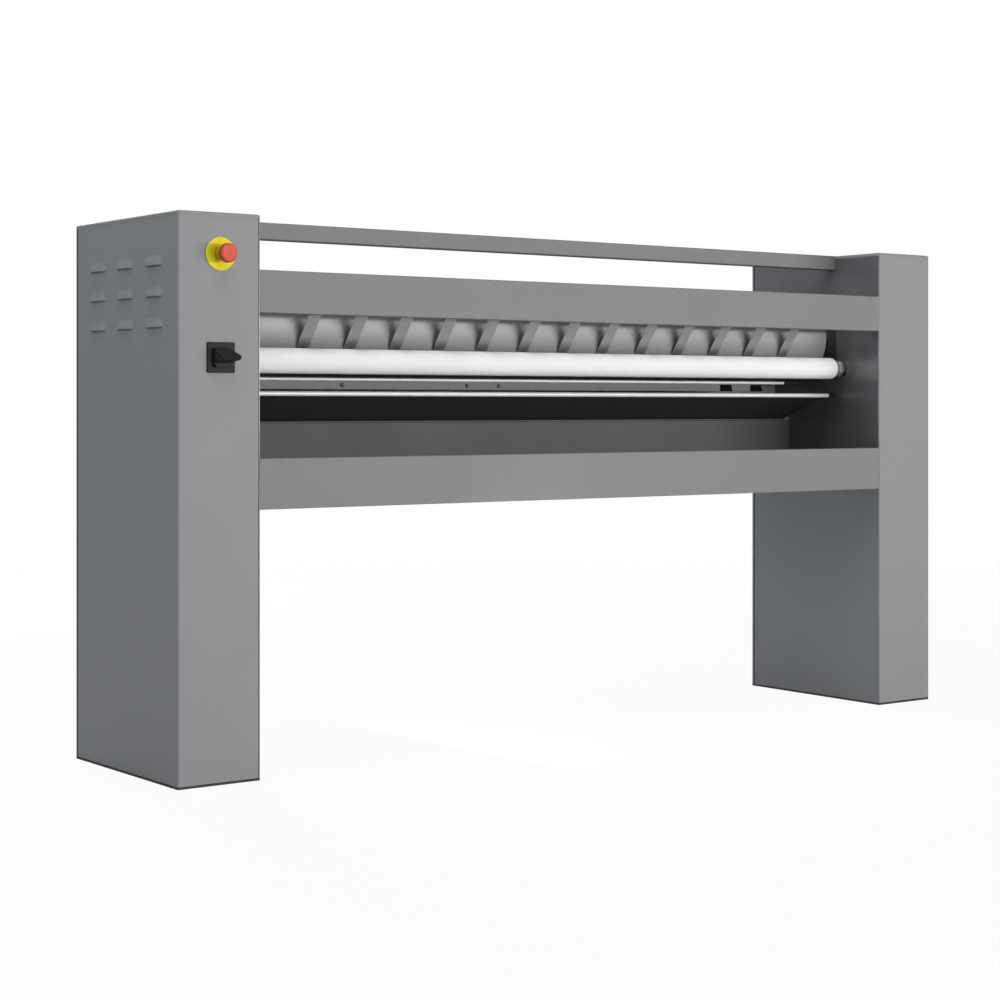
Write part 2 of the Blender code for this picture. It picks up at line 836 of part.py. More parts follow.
def make_roller(paints):
    """Pressing roller: a steel tube in a cloth sleeve, with a cap at either end."""
    centre = (deep(roller_depth), roller_z)
    end = half_passage - cloth_end_room
    tube_radius = cloth_radius - cloth_thickness
    tube_bore = tube_radius - seat_gap - roller_tube_wall
    pieces = []
    profile = pipe_profile(-end, end, cloth_radius, tube_radius)
    pieces.append(add_object("roller_cover", turned(profile, "X", centre, roller_sides), paints["cloth"], True))
    profile = pipe_profile(-end, end, tube_radius - seat_gap, tube_bore)
    pieces.append(add_object("roller_tube", turned(profile, "X", centre, roller_sides), paints["steel"], True))
    cap_start = end + seat_gap
    cap_end = half_passage - cap_wall_gap
    neck = cap_start + (cap_end - cap_start) * cap_neck_share
    groove = cap_start + (cap_end - cap_start) * cap_groove_share
    spigot = tube_bore - seat_gap
    bore = axle_radius + seat_gap
    for word, side in (("left", -1), ("right", 1)):
        profile = [(end - cap_spigot, bore), (end - cap_spigot, spigot), (cap_start, spigot),
                   (cap_start, cap_radius), (neck, cap_radius), (neck, cap_groove_radius),
                   (groove, cap_groove_radius), (groove, cap_radius), (cap_end, cap_radius), (cap_end, bore)]
        profile = [(side * along, radius) for along, radius in profile]
        shape = turned(profile, "X", centre, round_sides)
        pieces.append(add_object(word + "_roller_cap", shape, paints["steel"], True))
    for piece in pieces:
        set_origin(piece, (0, *centre))


def make_axle(steel):
    """Fixed axle that the roller turns on and that ties the two arms together."""
    end = half_passage + arm_start + arm_thickness + axle_end_room
    centre = (deep(roller_depth), roller_z)
    axle = add_object("roller_axle", turned(rod_profile(-end, end, axle_radius), "X", centre, small_sides), steel, True)
    set_origin(axle, (0, *pivot_place()))


def make_arm(name, side, paints):
    """Bent lever that presses the roller to the cylinder, with a stud for its spring."""
    near = side * (half_passage + arm_start)
    far = side * (half_passage + arm_start + arm_thickness)
    path = [roller_place(0), pivot_place(), spring_place(0)]
    outline = strap_outline(path, arm_width / 2, small_sides // 2)
    arm = add_object(name, prism(outline, "X", near, far), paints["zinc"])
    start = near - side * overrun
    end = far + side * overrun
    drill(arm, "X", roller_place(0), start, end, axle_radius + seat_gap)
    drill(arm, "X", pivot_place(), start, end, pivot_radius + seat_gap)
    stud_start = side * (half_passage + arm_start + arm_thickness / 2)
    stud_end = far + side * stud_length
    stud = turned(rod_profile(stud_start, stud_end, stud_radius), "X", spring_place(0), small_sides)
    combine(arm, add_object("stud", stud, paints["zinc"]), "UNION")
    set_origin(arm, (0, *pivot_place()))


def make_pivot_bolt(name, side, steel):
    """Shoulder bolt that an arm turns on."""
    start = half_passage + inner_panel_back
    head = half_passage + arm_start + arm_thickness + seat_gap
    end = head + pivot_head
    profile = [(start, 0), (start, pivot_radius), (head, pivot_radius), (head, pivot_head_radius),
               (end, pivot_head_radius), (end, 0)]
    profile = [(side * along, radius) for along, radius in profile]
    add_object(name, turned(profile, "X", pivot_place(), small_sides), steel, True)


def make_spring(name, side, steel):
    """Tension spring between the lever's stud and the stud on the inner panel."""
    hook = stud_radius + spring_wire + 2 * seat_gap
    low = spring_place(hook - spring_drop)
    high = spring_place(-hook)
    centre_x = side * (half_passage + arm_start + arm_thickness + spring_radius + spring_wire + sheet)
    count = spring_turns * spring_points
    curve = bpy.data.curves.new(name, "CURVE")
    curve.dimensions = "3D"
    curve.bevel_depth = spring_wire
    curve.bevel_resolution = 0
    curve.use_fill_caps = True
    spline = curve.splines.new("POLY")
    spline.points.add(count)
    for index in range(count + 1):
        angle = math.tau * index / spring_points
        height = low.y + (high.y - low.y) * index / count
        place = (centre_x + spring_radius * math.cos(angle), low.x + spring_radius * math.sin(angle), height)
        spline.points[index].co = (*place, 1)
    curve.materials.append(steel)
    spring = bpy.data.objects.new(name, curve)
    bpy.context.scene.collection.objects.link(spring)


def pulley_profile(radius, bore):
    """A flat pulley with a rim on either side, in distances from the inner wall."""
    start = half_passage + pulley_start
    end = start + pulley_width
    rim = radius + pulley_rim_height
    return [(-start, bore), (-start, rim), (-start - pulley_rim, rim), (-start - pulley_rim, radius),
            (-end + pulley_rim, radius), (-end + pulley_rim, rim), (-end, rim), (-end, bore)]


def make_pulleys(paints):
    """Large pulley on the left journal and small pulley with its shaft in the gearbox."""
    centre = (deep(cylinder_depth), cylinder_z)
    profile = pulley_profile(cylinder_pulley_radius, journal_radius + seat_gap)
    large = add_object("cylinder_pulley", turned(profile, "X", centre, round_sides), paints["iron"], True)
    set_origin(large, (0, *centre))
    centre = (deep(motor_depth), motor_z)
    profile = pulley_profile(motor_pulley_radius, 0)
    inside = half_passage + gearbox_reach - gearbox_bore_depth + seat_gap
    start = half_passage + pulley_start
    profile = [(-inside, 0), (-inside, motor_shaft_radius), (-start, motor_shaft_radius)] + profile[1:]
    small = add_object("motor_pulley", turned(profile, "X", centre, round_sides), paints["iron"], True)
    set_origin(small, (0, *centre))


def belt_loop(extra):
    """The closed line that an open belt follows round both pulleys."""
    upper = Vector((deep(cylinder_depth), cylinder_z))
    lower = Vector((deep(motor_depth), motor_z))
    line = upper - lower
    large = cylinder_pulley_radius + extra
    small = motor_pulley_radius + extra
    heading = math.atan2(line.y, line.x)
    lean = math.acos((large - small) / line.length)
    points = []
    for centre, radius, start, sweep in ((upper, large, heading - math.pi + lean, math.tau - 2 * lean),
                                         (lower, small, heading + math.pi - lean, 2 * lean)):
        for step in range(belt_steps + 1):
            angle = start + sweep * step / belt_steps
            points.append(tuple(centre + Vector((math.cos(angle), math.sin(angle))) * radius))
    return points


def make_belt(rubber):
    """Flat drive belt that runs between the rims."""
    start = half_passage + pulley_start + pulley_rim + belt_side_room
    end = half_passage + pulley_start + pulley_width - pulley_rim - belt_side_room
    belt = add_object("drive_belt", prism(belt_loop(seat_gap + belt_thickness), "X", -end, -start), rubber)
    inner = prism(belt_loop(seat_gap), "X", -end - overrun, -start + overrun)
    combine(belt, add_object("inner", inner, rubber), "DIFFERENCE")


def make_gearmotor(paint):
    """Worm gearmotor bolted to the left inner panel, with its motor hanging below."""
    half = gearbox_size / 2
    low = (-half_passage - gearbox_reach, deep(motor_depth) - half, motor_z - half)
    high = (-half_passage - inner_panel_back, deep(motor_depth) + half, motor_z + half)
    gearbox = add_object("gearmotor", block(low, high), paint)
    top = low[2] + overrun
    bottom = top - can_length
    profile = [(top, 0), (top, can_radius), (bottom + can_cap, can_radius), (bottom + can_cap, can_cap_radius),
               (bottom, can_cap_radius), (bottom, 0)]
    centre = (-half_passage - can_centre, deep(motor_depth))
    combine(gearbox, add_object("can", turned(profile, "Z", centre, round_sides), paint), "UNION")
    start = -half_passage - gearbox_reach - overrun
    end = -half_passage - gearbox_reach + gearbox_bore_depth
    centre = (deep(motor_depth), motor_z)
    drill(gearbox, "X", centre, start, end, motor_shaft_radius + seat_gap)


def make_comb(steel):
    """Guide comb: a rail behind the upper cover with flat fingers that reach down to the nip."""
    axis = Vector((cylinder_depth, cylinder_z))
    bend_reach = cylinder_radius + comb_room
    bend = axis + Vector((math.cos(comb_angle), math.sin(comb_angle))) * bend_reach
    top = Vector((bend.x, upper_cover_top - comb_top_drop))
    tip_reach = cylinder_radius + finger_room
    tip = axis + Vector((math.cos(finger_angle), math.sin(finger_angle))) * tip_reach
    path = [top, bend, bend.lerp(tip, comb_root_share), tip]
    outline = [(deep(v), z) for v, z in sheet_outline(path, sheet, 0)]
    count = len(path)
    levels = list(zip(outline[:count], reversed(outline[count:])))
    edges = []
    for index in range(finger_count):
        middle = comb_offset + (index - (finger_count - 1) / 2) * finger_pitch
        edges.extend((middle - finger_width / 2, middle + finger_width / 2))
    reach = half_passage - seat_gap
    stations = [-reach] + edges + [reach]
    shape = bmesh.new()
    grid = []
    for station, x in enumerate(stations):
        on_finger = 0 < station < len(stations) - 1
        depth = count if on_finger else count - 1
        grid.append([[shape.verts.new((x, *point)) for point in level] for level in levels[:depth]])
    for station, (near, far) in enumerate(zip(grid, grid[1:])):
        finger = station % 2 == 1
        last = count - 1 if finger else count - 2
        for level in range(last):
            for face in (0, 1):
                shape.faces.new((near[level][face], near[level + 1][face], far[level + 1][face], far[level][face]))
        shape.faces.new((*near[0], *reversed(far[0])))
        shape.faces.new((*near[last], *reversed(far[last])))
        if finger:
            for row in (near, far):
                shape.faces.new((*row[last - 1], *reversed(row[last])))
    for row in (grid[0], grid[-1]):
        front = [level[0] for level in row]
        back = [level[1] for level in row]
        shape.faces.new(front + back[::-1])
    add_object("guide_comb", shape, steel)


def make_scraper(paints):
    """Scraper plate with a rolled front edge, and its rail, whose face ends at the last clip."""
    path = hem_path((scraper_depth, scraper_z), scraper_hem_radius, 0, scraper_length)
    outline = sheet_outline(path, hem_sheet / 2, hem_sheet / 2)
    add_object("scraper_plate", across_passage(outline, scraper_end_room), paints["steel"])
    face = scraper_depth + rail_gap
    corners = [Vector((face, rail_bottom)), Vector((face, rail_top)), Vector((face + rail_foot, rail_top))]
    rail = add_object("plate_rail", across_passage(sheet_outline(corners, 0, sheet), seat_gap), paints["zinc"])
    low = (clip_places[-1] + clip_width / 2, deep(face) - overrun, rail_bottom - overrun)
    high = (half_passage + overrun, deep(face + rail_foot) + overrun, rail_top - 2 * sheet)
    notch = add_object("notch", block(low, high), paints["zinc"])
    combine(rail, notch, "DIFFERENCE")
    return rail, face


def flap_heading():
    """Slope of the flap from its hem down to the tray's ledge."""
    drop = flap_hem_radius + tray_back_drop - sheet - seat_gap - hem_sheet
    return -math.atan2(drop, tray_back_depth - flap_rear_room - flap_depth)


def make_flap(paints):
    """Chute flap with a rolled front edge that turns on two pins and rests on the tray's ledge."""
    heading = flap_heading()
    length = (tray_back_depth - flap_rear_room - flap_depth) / math.cos(heading)
    path = hem_path((flap_depth, flap_z), flap_hem_radius, heading, length)
    outline = sheet_outline(path, hem_sheet / 2, hem_sheet / 2)
    flap = add_object("linen_flap", across_passage(outline, flap_end_room), paints["steel"])
    set_origin(flap, (0, deep(flap_depth), flap_z))


def make_flap_pin(name, side, zinc):
    """Collared pin that carries one end of the flap's rolled edge."""
    hem_end = half_passage - flap_end_room
    inside = hem_end - flap_pin_reach
    profile = [(inside, 0), (inside, flap_pin_radius), (hem_end + seat_gap, flap_pin_radius),
               (hem_end + seat_gap, flap_collar_radius), (half_passage - seat_gap, flap_collar_radius),
               (half_passage - seat_gap, flap_pin_radius), (half_passage + flap_thread, flap_pin_radius),
               (half_passage + flap_thread, 0)]
    profile = [(side * along, radius) for along, radius in profile]
    add_object(name, turned(profile, "X", (deep(flap_depth), flap_z), small_sides), zinc, True)


def control_place():
    """X of the controls on the left cabinet's front."""
    return -(half_passage + cabinet_width) + control_x


def make_emergency_stop(shell, paints):
    """Yellow legend plate, switch body, plunger and red mushroom head."""
    centre = (control_place(), machine_height - emergency_drop)
    drill(shell, "Y", centre, deep(-overrun), deep(sheet + overrun), emergency_hole, round_sides)
    plate_back = -seat_gap
    plate_front = plate_back - sheet
    bore = neck_radius + seat_gap
    profile = pipe_profile(deep(plate_front), deep(plate_back), legend_radius, bore)
    add_object("emergency_plate", turned(profile, "Y", centre, round_sides), paints["yellow"], True)
    inside = emergency_hole - seat_gap
    slide = plunger_radius + seat_gap
    neck_end = sheet + seat_gap + block_neck
    profile = [(-neck_reach, slide), (-neck_reach, neck_radius), (plate_back, neck_radius), (plate_back, inside),
               (neck_end, inside), (neck_end, slide)]
    profile = [(deep(depth), radius) for depth, radius in profile]
    body = add_object("emergency_body", turned(profile, "Y", centre, round_sides), paints["dark"], True)
    half = block_size / 2
    block_start = neck_end - sheet
    low = (centre[0] - half, deep(block_start), centre[1] - half)
    high = (centre[0] + half, deep(block_start + block_depth), centre[1] + half)
    combine(body, add_object("block", block(low, high), paints["dark"]), "UNION")
    room = plunger_inside + emergency_travel + sheet
    drill(body, "Y", centre, deep(-neck_reach - overrun), deep(room), slide, small_sides)
    plunger_front = -head_reach + head_thickness - head_socket + seat_gap
    profile = rod_profile(deep(plunger_front), deep(plunger_inside), plunger_radius)
    plunger = add_object("emergency_plunger", turned(profile, "Y", centre, small_sides), paints["dark"], True)
    face = -head_reach
    back = face + head_thickness
    profile = [(face, 0), (face, head_radius - 2 * head_edge), (face + head_edge / 2, head_radius - head_edge / 2),
               (face + head_edge, head_radius), (back - head_edge / 2, head_radius), (back, head_radius - head_edge),
               (back, slide), (back - head_socket, slide), (back - head_socket, 0)]
    profile = [(deep(depth), radius) for depth, radius in profile]
    head = add_object("emergency_head", turned(profile, "Y", centre, round_sides), paints["red"], True)
    for piece in (plunger, head):
        set_origin(piece, (centre[0], deep(face), centre[1]))


def rounded_square(centre, size, radius):
    """A square outline with cut corners."""
    half = size / 2
    inner = half - radius
    signs = ((1, 1), (-1, 1), (-1, -1), (1, -1))
    points = []
    for index, (sx, sz) in enumerate(signs):
        pair = [(half, inner), (inner, half)] if index % 2 == 0 else [(inner, half), (half, inner)]
        points.extend((centre[0] + sx * a, centre[1] + sz * b) for a, b in pair)
    return points


def make_lever(centre, base_y):
    """Handle of the main switch: a wedge that narrows from the boss to a finger at the right."""
    base_half = knob_boss / 2 - knob_boss_edge
    crest = deep(-knob_reach)
    tip_crest = crest + lever_tip_drop
    tip_back = tip_crest + lever_tip_thickness
    rows = [(-base_half, base_y, base_half), (base_half, base_y, base_half), (lever_tip, tip_back, lever_tip_half_width),
            (lever_tip, tip_crest, lever_tip_half_width), (-lever_start, crest, lever_start_half_width)]
    shape = bmesh.new()
    lower, upper = [[shape.verts.new((centre[0] + x, y, centre[1] + half * sign)) for x, y, half in rows]
                    for sign in (-1, 1)]
    hull = bmesh.ops.convex_hull(shape, input=lower + upper)
    loose = [item for item in hull["geom_interior"] if isinstance(item, bmesh.types.BMVert)]
    bmesh.ops.delete(shape, geom=loose, context="VERTS")
    return shape


def make_main_switch(shell, paints):
    """Square plate, turning knob with its lever and shaft, and the switch body behind the sheet."""
    centre = (control_place(), machine_height - switch_drop)
    drill(shell, "Y", centre, deep(-overrun), deep(sheet + overrun), switch_hole)
    back = -seat_gap
    front = back - switch_plate_thickness
    outline = rounded_square(centre, switch_plate_size, switch_plate_edge)
    plate = add_object("switch_plate", prism(outline, "Y", deep(front), deep(back)), paints["black"])
    drill(plate, "Y", centre, deep(front - overrun), deep(overrun), switch_shaft_radius + seat_gap)
    boss_back = front - seat_gap
    boss_front = boss_back - knob_boss_height
    outline = rounded_square(centre, knob_boss, knob_boss_edge)
    knob = add_object("switch_knob", prism(outline, "Y", deep(boss_front), deep(boss_back)), paints["black"])
    lever = make_lever(centre, deep(boss_front + sheet))
    combine(knob, add_object("lever", lever, paints["black"]), "UNION")
    shaft = rod_profile(deep(boss_back - sheet), deep(switch_shaft_inside), switch_shaft_radius)
    combine(knob, add_object("shaft", turned(shaft, "Y", centre, small_sides), paints["black"]), "UNION")
    set_origin(knob, (centre[0], deep(boss_back), centre[1]))
    half = switch_body_size / 2
    start = sheet + seat_gap
    low = (centre[0] - half, deep(start), centre[1] - half)
    high = (centre[0] + half, deep(start + switch_body_depth), centre[1] + half)
    body = add_object("switch_body", block(low, high), paints["black"])
    end = deep(switch_shaft_inside + sheet)
    drill(body, "Y", centre, deep(start - overrun), end, switch_shaft_radius + seat_gap)


def make_rail_screws(rail, rail_face, zinc):
    """Screws in the face of the scraper plate's rail."""
    height = rail_bottom + rail_height * rail_screw_drop_share
    seat = rail_face - seat_gap
    for index, x in enumerate(rail_screw_places):
        start = deep(seat - overrun)
        end = deep(rail_face + sheet + overrun)
        drill(rail, "Y", (x, height), start, end, screw_shank_radius + seat_gap, screw_sides)
        shape = turned(screw_profile(seat, -1), "Y", (x, height), screw_sides)
        add_object("rail_screw_%d" % (index + 1), shape, zinc)


def make_clips(rail_face, black):
    """Black clips that stand on the rail and hold the scraper plate's right end."""
    back = rail_face - seat_gap
    for word, place in zip(("left", "right"), clip_places):
        top = rail_bottom + clip_height
        outline = ((place - clip_width / 2, rail_bottom), (place + clip_width / 2, rail_bottom),
                   (place + clip_width / 2 - clip_thickness, top), (place - clip_width / 2, top))
        add_object(word + "_plate_clip", prism(outline, "Y", deep(back - clip_thickness), deep(back)), black)


def make_gland(panel, paints):
    """Cable gland in the left inner panel, where the supply enters."""
    centre = (deep(cabinet_depth - gland_lead), gland_z)
    drill(panel, "X", centre, -half_passage + overrun, -half_passage - sheet - overrun,
          gland_thread_radius + seat_gap)
    face = seat_gap
    nut = face + gland_nut_height
    dome = nut + gland_dome_height
    lock = inner_panel_back
    profile = [(dome, gland_bore), (dome, gland_dome_radius), (nut, gland_dome_radius), (nut, gland_nut_radius),
               (face, gland_nut_radius), (face, gland_thread_radius), (-lock, gland_thread_radius),
               (-lock, gland_nut_radius), (-lock - gland_locknut, gland_nut_radius),
               (-lock - gland_locknut, gland_thread_radius), (-gland_thread_length, gland_thread_radius),
               (-gland_thread_length, gland_bore)]
    profile = [(along - half_passage, radius) for along, radius in profile]
    add_object("cable_gland", turned(profile, "X", centre, small_sides), paints["black"], True)


def make_control_box(paints):
    """Closed box with the controls for the heat and the drive, in the right cabinet."""
    top = spring_place(-spring_drop).y - box_drop
    low = (half_passage + inner_panel_back, deep(box_front), top - box_height)
    high = (half_passage + box_reach, deep(box_front + box_depth), top)
    box = add_object("control_box", block(low, high), paints["dark"])
    edge = box.modifiers.new("edge", "BEVEL")
    edge.width = box_edge
    edge.segments = 1


def make_finishes():
    """The materials, as the machine shows them."""
    return {
        "paint": finish("hammer_grey_paint", (0.27, 0.275, 0.285), 0.42, 0.35),
        "dark": finish("dark_sheet", (0.012, 0.012, 0.013), 0.6, 0),
        "rubber": finish("black_rubber", (0.01, 0.01, 0.01), 0.8, 0),
        "steel": finish("polished_steel", (0.55, 0.55, 0.55), 0.25, 1),
        "zinc": finish("zinc_plate", (0.36, 0.37, 0.38), 0.45, 1),
        "iron": finish("cast_iron", (0.08, 0.08, 0.085), 0.6, 0.8),
        "cloth": finish("ironing_cloth", (0.85, 0.85, 0.83), 0.95, 0),
        "yellow": finish("yellow_plastic", (0.78, 0.64, 0.015), 0.45, 0),
        "red": finish("red_plastic", (0.70, 0.16, 0.11), 0.4, 0),
        "black": finish("black_plastic", (0.02, 0.02, 0.02), 0.5, 0),
    }


def build():
    """Make every piece of the machine."""
    for piece in list(bpy.data.objects):
        bpy.data.objects.remove(piece)
    paints = make_finishes()
    left_panel = make_cabinet("left", -1, paints)
    make_cabinet("right", 1, paints)
    make_channel("front_upper_cover", upper_cover_top, upper_cover_bottom, upper_cover_top_return,
                 upper_cover_bottom_return, paints["paint"])
    make_channel("lower_front_beam", beam_top, beam_bottom, beam_return, beam_return, paints["paint"])
    make_top_bar(paints["paint"])
    make_tray(paints["paint"])
    make_rear_cover(paints["paint"])
    make_cylinder(paints["steel"])
    make_end_flange("left_end_flange", -1, pulley_start + pulley_width + sheet, paints["steel"])
    make_end_flange("right_end_flange", 1, bearing_start() + bearing_length + sheet, paints["steel"])
    make_bearing("left", -1, paints)
    make_bearing("right", 1, paints)
    make_element_holder("left_element_holder", -1, left_holder_reach, paints["zinc"])
    make_element_holder("right_element_holder", 1, right_holder_reach, paints["zinc"])
    make_element(paints["steel"])
    make_roller(paints)
    make_axle(paints["steel"])
    make_arm("left_pressure_arm", -1, paints)
    make_arm("right_pressure_arm", 1, paints)
    make_pivot_bolt("left_arm_pivot_bolt", -1, paints["steel"])
    make_pivot_bolt("right_arm_pivot_bolt", 1, paints["steel"])
    make_spring("left_pressure_spring", -1, paints["steel"])
    make_spring("right_pressure_spring", 1, paints["steel"])
    make_pulleys(paints)
    make_belt(paints["rubber"])
    make_gearmotor(paints["dark"])
    make_comb(paints["steel"])
    rail, rail_face = make_scraper(paints)
    make_clips(rail_face, paints["black"])
    make_rail_screws(rail, rail_face, paints["zinc"])
    make_flap(paints)
    make_flap_pin("left_flap_pin", -1, paints["zinc"])
    make_flap_pin("right_flap_pin", 1, paints["zinc"])
    left_shell = bpy.data.objects["left_shell"]
    make_emergency_stop(left_shell, paints)
    make_main_switch(left_shell, paints)
    make_gland(left_panel, paints)
    make_control_box(paints)


build()
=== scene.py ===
# %% [markdown]
# # Dressing a flatwork ironer
# A flatwork ironer presses sheets and tablecloths between a hot steel cylinder and a cloth roller.
# Two sheet metal cabinets carry both. The solids that hold the sizes and the joints are loaded first and
# never moved. Each one is then stood for by a finer mesh in its place.

# %% Load the solids
import json
import math

import bmesh
import bpy
from mathutils import Matrix, Vector


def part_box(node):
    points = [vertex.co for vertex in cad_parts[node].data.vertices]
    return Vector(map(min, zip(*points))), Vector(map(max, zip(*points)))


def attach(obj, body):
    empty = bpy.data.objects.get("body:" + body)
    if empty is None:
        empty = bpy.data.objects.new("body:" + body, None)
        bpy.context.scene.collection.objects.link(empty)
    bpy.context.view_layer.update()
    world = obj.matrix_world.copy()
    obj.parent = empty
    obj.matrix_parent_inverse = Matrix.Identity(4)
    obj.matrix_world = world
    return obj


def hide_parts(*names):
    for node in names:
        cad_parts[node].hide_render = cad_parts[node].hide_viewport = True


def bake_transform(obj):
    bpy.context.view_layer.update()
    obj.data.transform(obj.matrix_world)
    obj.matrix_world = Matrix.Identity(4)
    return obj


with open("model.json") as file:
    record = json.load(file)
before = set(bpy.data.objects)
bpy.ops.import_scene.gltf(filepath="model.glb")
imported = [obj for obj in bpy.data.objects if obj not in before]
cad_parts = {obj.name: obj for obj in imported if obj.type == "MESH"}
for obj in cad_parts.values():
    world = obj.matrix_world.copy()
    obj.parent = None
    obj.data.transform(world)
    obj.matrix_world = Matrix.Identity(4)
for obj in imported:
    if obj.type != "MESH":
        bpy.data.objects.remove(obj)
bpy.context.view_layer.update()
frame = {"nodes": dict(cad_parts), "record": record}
behaviour = frame["record"]["behaviour"]
body_of = {node: body for body, members in behaviour["bodies"].items() for node in members}
joint_place = {joint["name"]: Vector(joint["pos_m"]) for joint in behaviour["joints"] if "pos_m" in joint}
both_ends = (("left", -1), ("right", 1))

# %% [markdown]
# ## The camera
# The picture was taken from the left at knee to hip height with a long lens, held level. A level camera
# keeps the cabinets upright in the picture. Its frame is then shifted a little instead of being tilted.

# %% Camera


def add_object(name, data):
    """A new object in the scene."""
    made = bpy.data.objects.new(name, data)
    bpy.context.scene.collection.objects.link(made)
    return made


camera = add_object("camera", bpy.data.cameras.new("camera"))
camera.data.sensor_width = 36
camera.data.lens = 75.59
camera.data.shift_x = -0.0009
camera.data.shift_y = -0.0953
camera.location = (-2.774, -3.5972, 0.6972)
camera.rotation_euler = (math.pi / 2, 0, -math.radians(36.39))
bpy.context.scene.camera = camera
print("Camera height in metres:", round(camera.location.z, 3))

# %% [markdown]
# ## Graph helpers
# The floor, the world, the finishes and the trees that repeat pieces are all graphs of nodes. One helper adds
# a node with its settings and inputs. The others wrap what is used again and again: a calculation, a smooth
# ramp, a place on the piece, a noise, and a colour that is multiplied by a shade.

# %% Graph helpers


def feed(tree, node, inputs):
    """Link a node's inputs to sockets, or give them plain values."""
    for title, value in inputs.items():
        if isinstance(value, bpy.types.NodeSocket):
            tree.links.new(value, node.inputs[title])
        else:
            node.inputs[title].default_value = value
    return node


def tree_node(tree, kind, inputs, **settings):
    """Add a node, set its properties and feed its inputs."""
    made = tree.nodes.new(kind)
    for title, value in settings.items():
        setattr(made, title, value)
    return feed(tree, made, inputs)


def result(tree, kind, inputs, **settings):
    """The first output of a new node."""
    return tree_node(tree, kind, inputs, **settings).outputs[0]


def math_node(tree, operation, first, second):
    """The result of a calculation with sockets or plain numbers."""
    return result(tree, "ShaderNodeMath", {0: first, 1: second}, operation=operation)


def ramp(tree, value, low, high, start, end):
    """Map a value smoothly from one range to another."""
    ends = {"From Min": low, "From Max": high, "To Min": start, "To Max": end}
    return result(tree, "ShaderNodeMapRange", {"Value": value, **ends}, interpolation_type="SMOOTHSTEP")


def object_place(tree, stretch=(1, 1, 1)):
    """Object coordinates, drawn out by a factor along each axis."""
    place = tree_node(tree, "ShaderNodeTexCoord", {}).outputs["Object"]
    return result(tree, "ShaderNodeMapping", {"Vector": place, "Scale": stretch})


def noise_node(tree, place, scale, detail):
    """A noise texture read at a place."""
    noise = tree_node(tree, "ShaderNodeTexNoise", {"Vector": place, "Scale": scale, "Detail": detail})
    return noise.outputs["Fac"]


def multiplied(tree, colour, shade):
    """A colour multiplied by a shade."""
    mix = tree_node(tree, "ShaderNodeMix", {"Factor": 1}, data_type="RGBA", blend_type="MULTIPLY")
    return feed(tree, mix, {6: colour, 7: shade}).outputs[2]


print("Graph helpers: 8")

# %% [markdown]
# ## Floor, world and lamps
# The machine stands in a white studio: a white sweep behind it, a pale floor, and lamps in front. The camera
# sees floor and sweep as pure white, which puts no extra light on the machine. Gloss sees the sweep behind
# the machine as white too, but the room behind the camera as dim, as it is in a real studio. The floor keeps
# a soft shadow close to the machine and turns fully white further away, so that no horizon shows.

# %% Studio white


def studio_white(tree, lit, end, camera_share, glossy_share):
    """End a graph in a mix of its lit shader and plain white, by a share for camera and for glossy rays."""
    rays = tree_node(tree, "ShaderNodeLightPath", {}).outputs
    seen = math_node(tree, "MULTIPLY", rays["Is Camera Ray"], camera_share)
    mirrored = math_node(tree, "MULTIPLY", rays["Is Glossy Ray"], glossy_share)
    share = math_node(tree, "MAXIMUM", seen, mirrored)
    white = result(tree, "ShaderNodeEmission", {"Color": (1, 1, 1, 1)})
    mix = result(tree, "ShaderNodeMixShader", {0: share, 1: tree.nodes[lit].outputs[0], 2: white})
    feed(tree, tree.nodes[end], {"Surface": mix})


print("Studio helpers: 1")

# %% Floor
floor_half = 40
floor_corners = [(x * floor_half, y * floor_half, 0) for x, y in ((-1, -1), (1, -1), (1, 1), (-1, 1))]
floor_mesh = bpy.data.meshes.new("studio_floor")
floor_mesh.from_pydata(floor_corners, [], [(0, 1, 2, 3)])
floor_paint = bpy.data.materials.new("studio_floor")
floor_paint.use_nodes = True
floor_mesh.materials.append(floor_paint)
floor_tree = floor_paint.node_tree
feed(floor_tree, floor_tree.nodes["Principled BSDF"], {"Base Color": (0.6, 0.6, 0.6, 1), "Roughness": 0.9})
floor_reach = tree_node(floor_tree, "ShaderNodeVectorMath", {0: object_place(floor_tree)}, operation="LENGTH")
floor_share = ramp(floor_tree, floor_reach.outputs["Value"], 1.2, 6.0, 0.955, 1)
studio_white(floor_tree, "Principled BSDF", "Material Output", floor_share, 0.25)
add_object("studio_floor", floor_mesh)
print("Floor side in metres:", 2 * floor_half)

# %% World
world = bpy.data.worlds.new("studio_world")
bpy.context.scene.world = world
world.use_nodes = True
sky_tree = world.node_tree
sky_strength = 0.16
feed(sky_tree, sky_tree.nodes["Background"], {"Color": (0.95, 0.97, 1, 1), "Strength": sky_strength})
sky_place = tree_node(sky_tree, "ShaderNodeTexCoord", {}).outputs["Generated"]
away_from_camera = (0.593, 0.805, 0)
sweep_side = tree_node(sky_tree, "ShaderNodeVectorMath", {0: sky_place, 1: away_from_camera},
                       operation="DOT_PRODUCT").outputs["Value"]
studio_white(sky_tree, "Background", "World Output", 1, ramp(sky_tree, sweep_side, 0.5, 0.9, 0.12, 1))
print("World strength:", sky_strength)

# %% [markdown]
# ### Lamps
# The key is a wide and low strip in front and to the right, at the height of the cover. Because it is low,
# the cover throws only a thin dark line on the strips and the cylinder. Because it is wide, each strip's
# shade on the cylinder is soft. A second strip fills the fronts from nearer the middle.
# A small bluish lamp stands high on the left and grazes the louvres, and a lamp above lights the covers. A
# small card of light between the legs stands for the white floor, which brightens the right cabinet's inner
# wall. The last lamp serves views from behind. The camera doesn't see the lamps themselves.

# %% Lamps


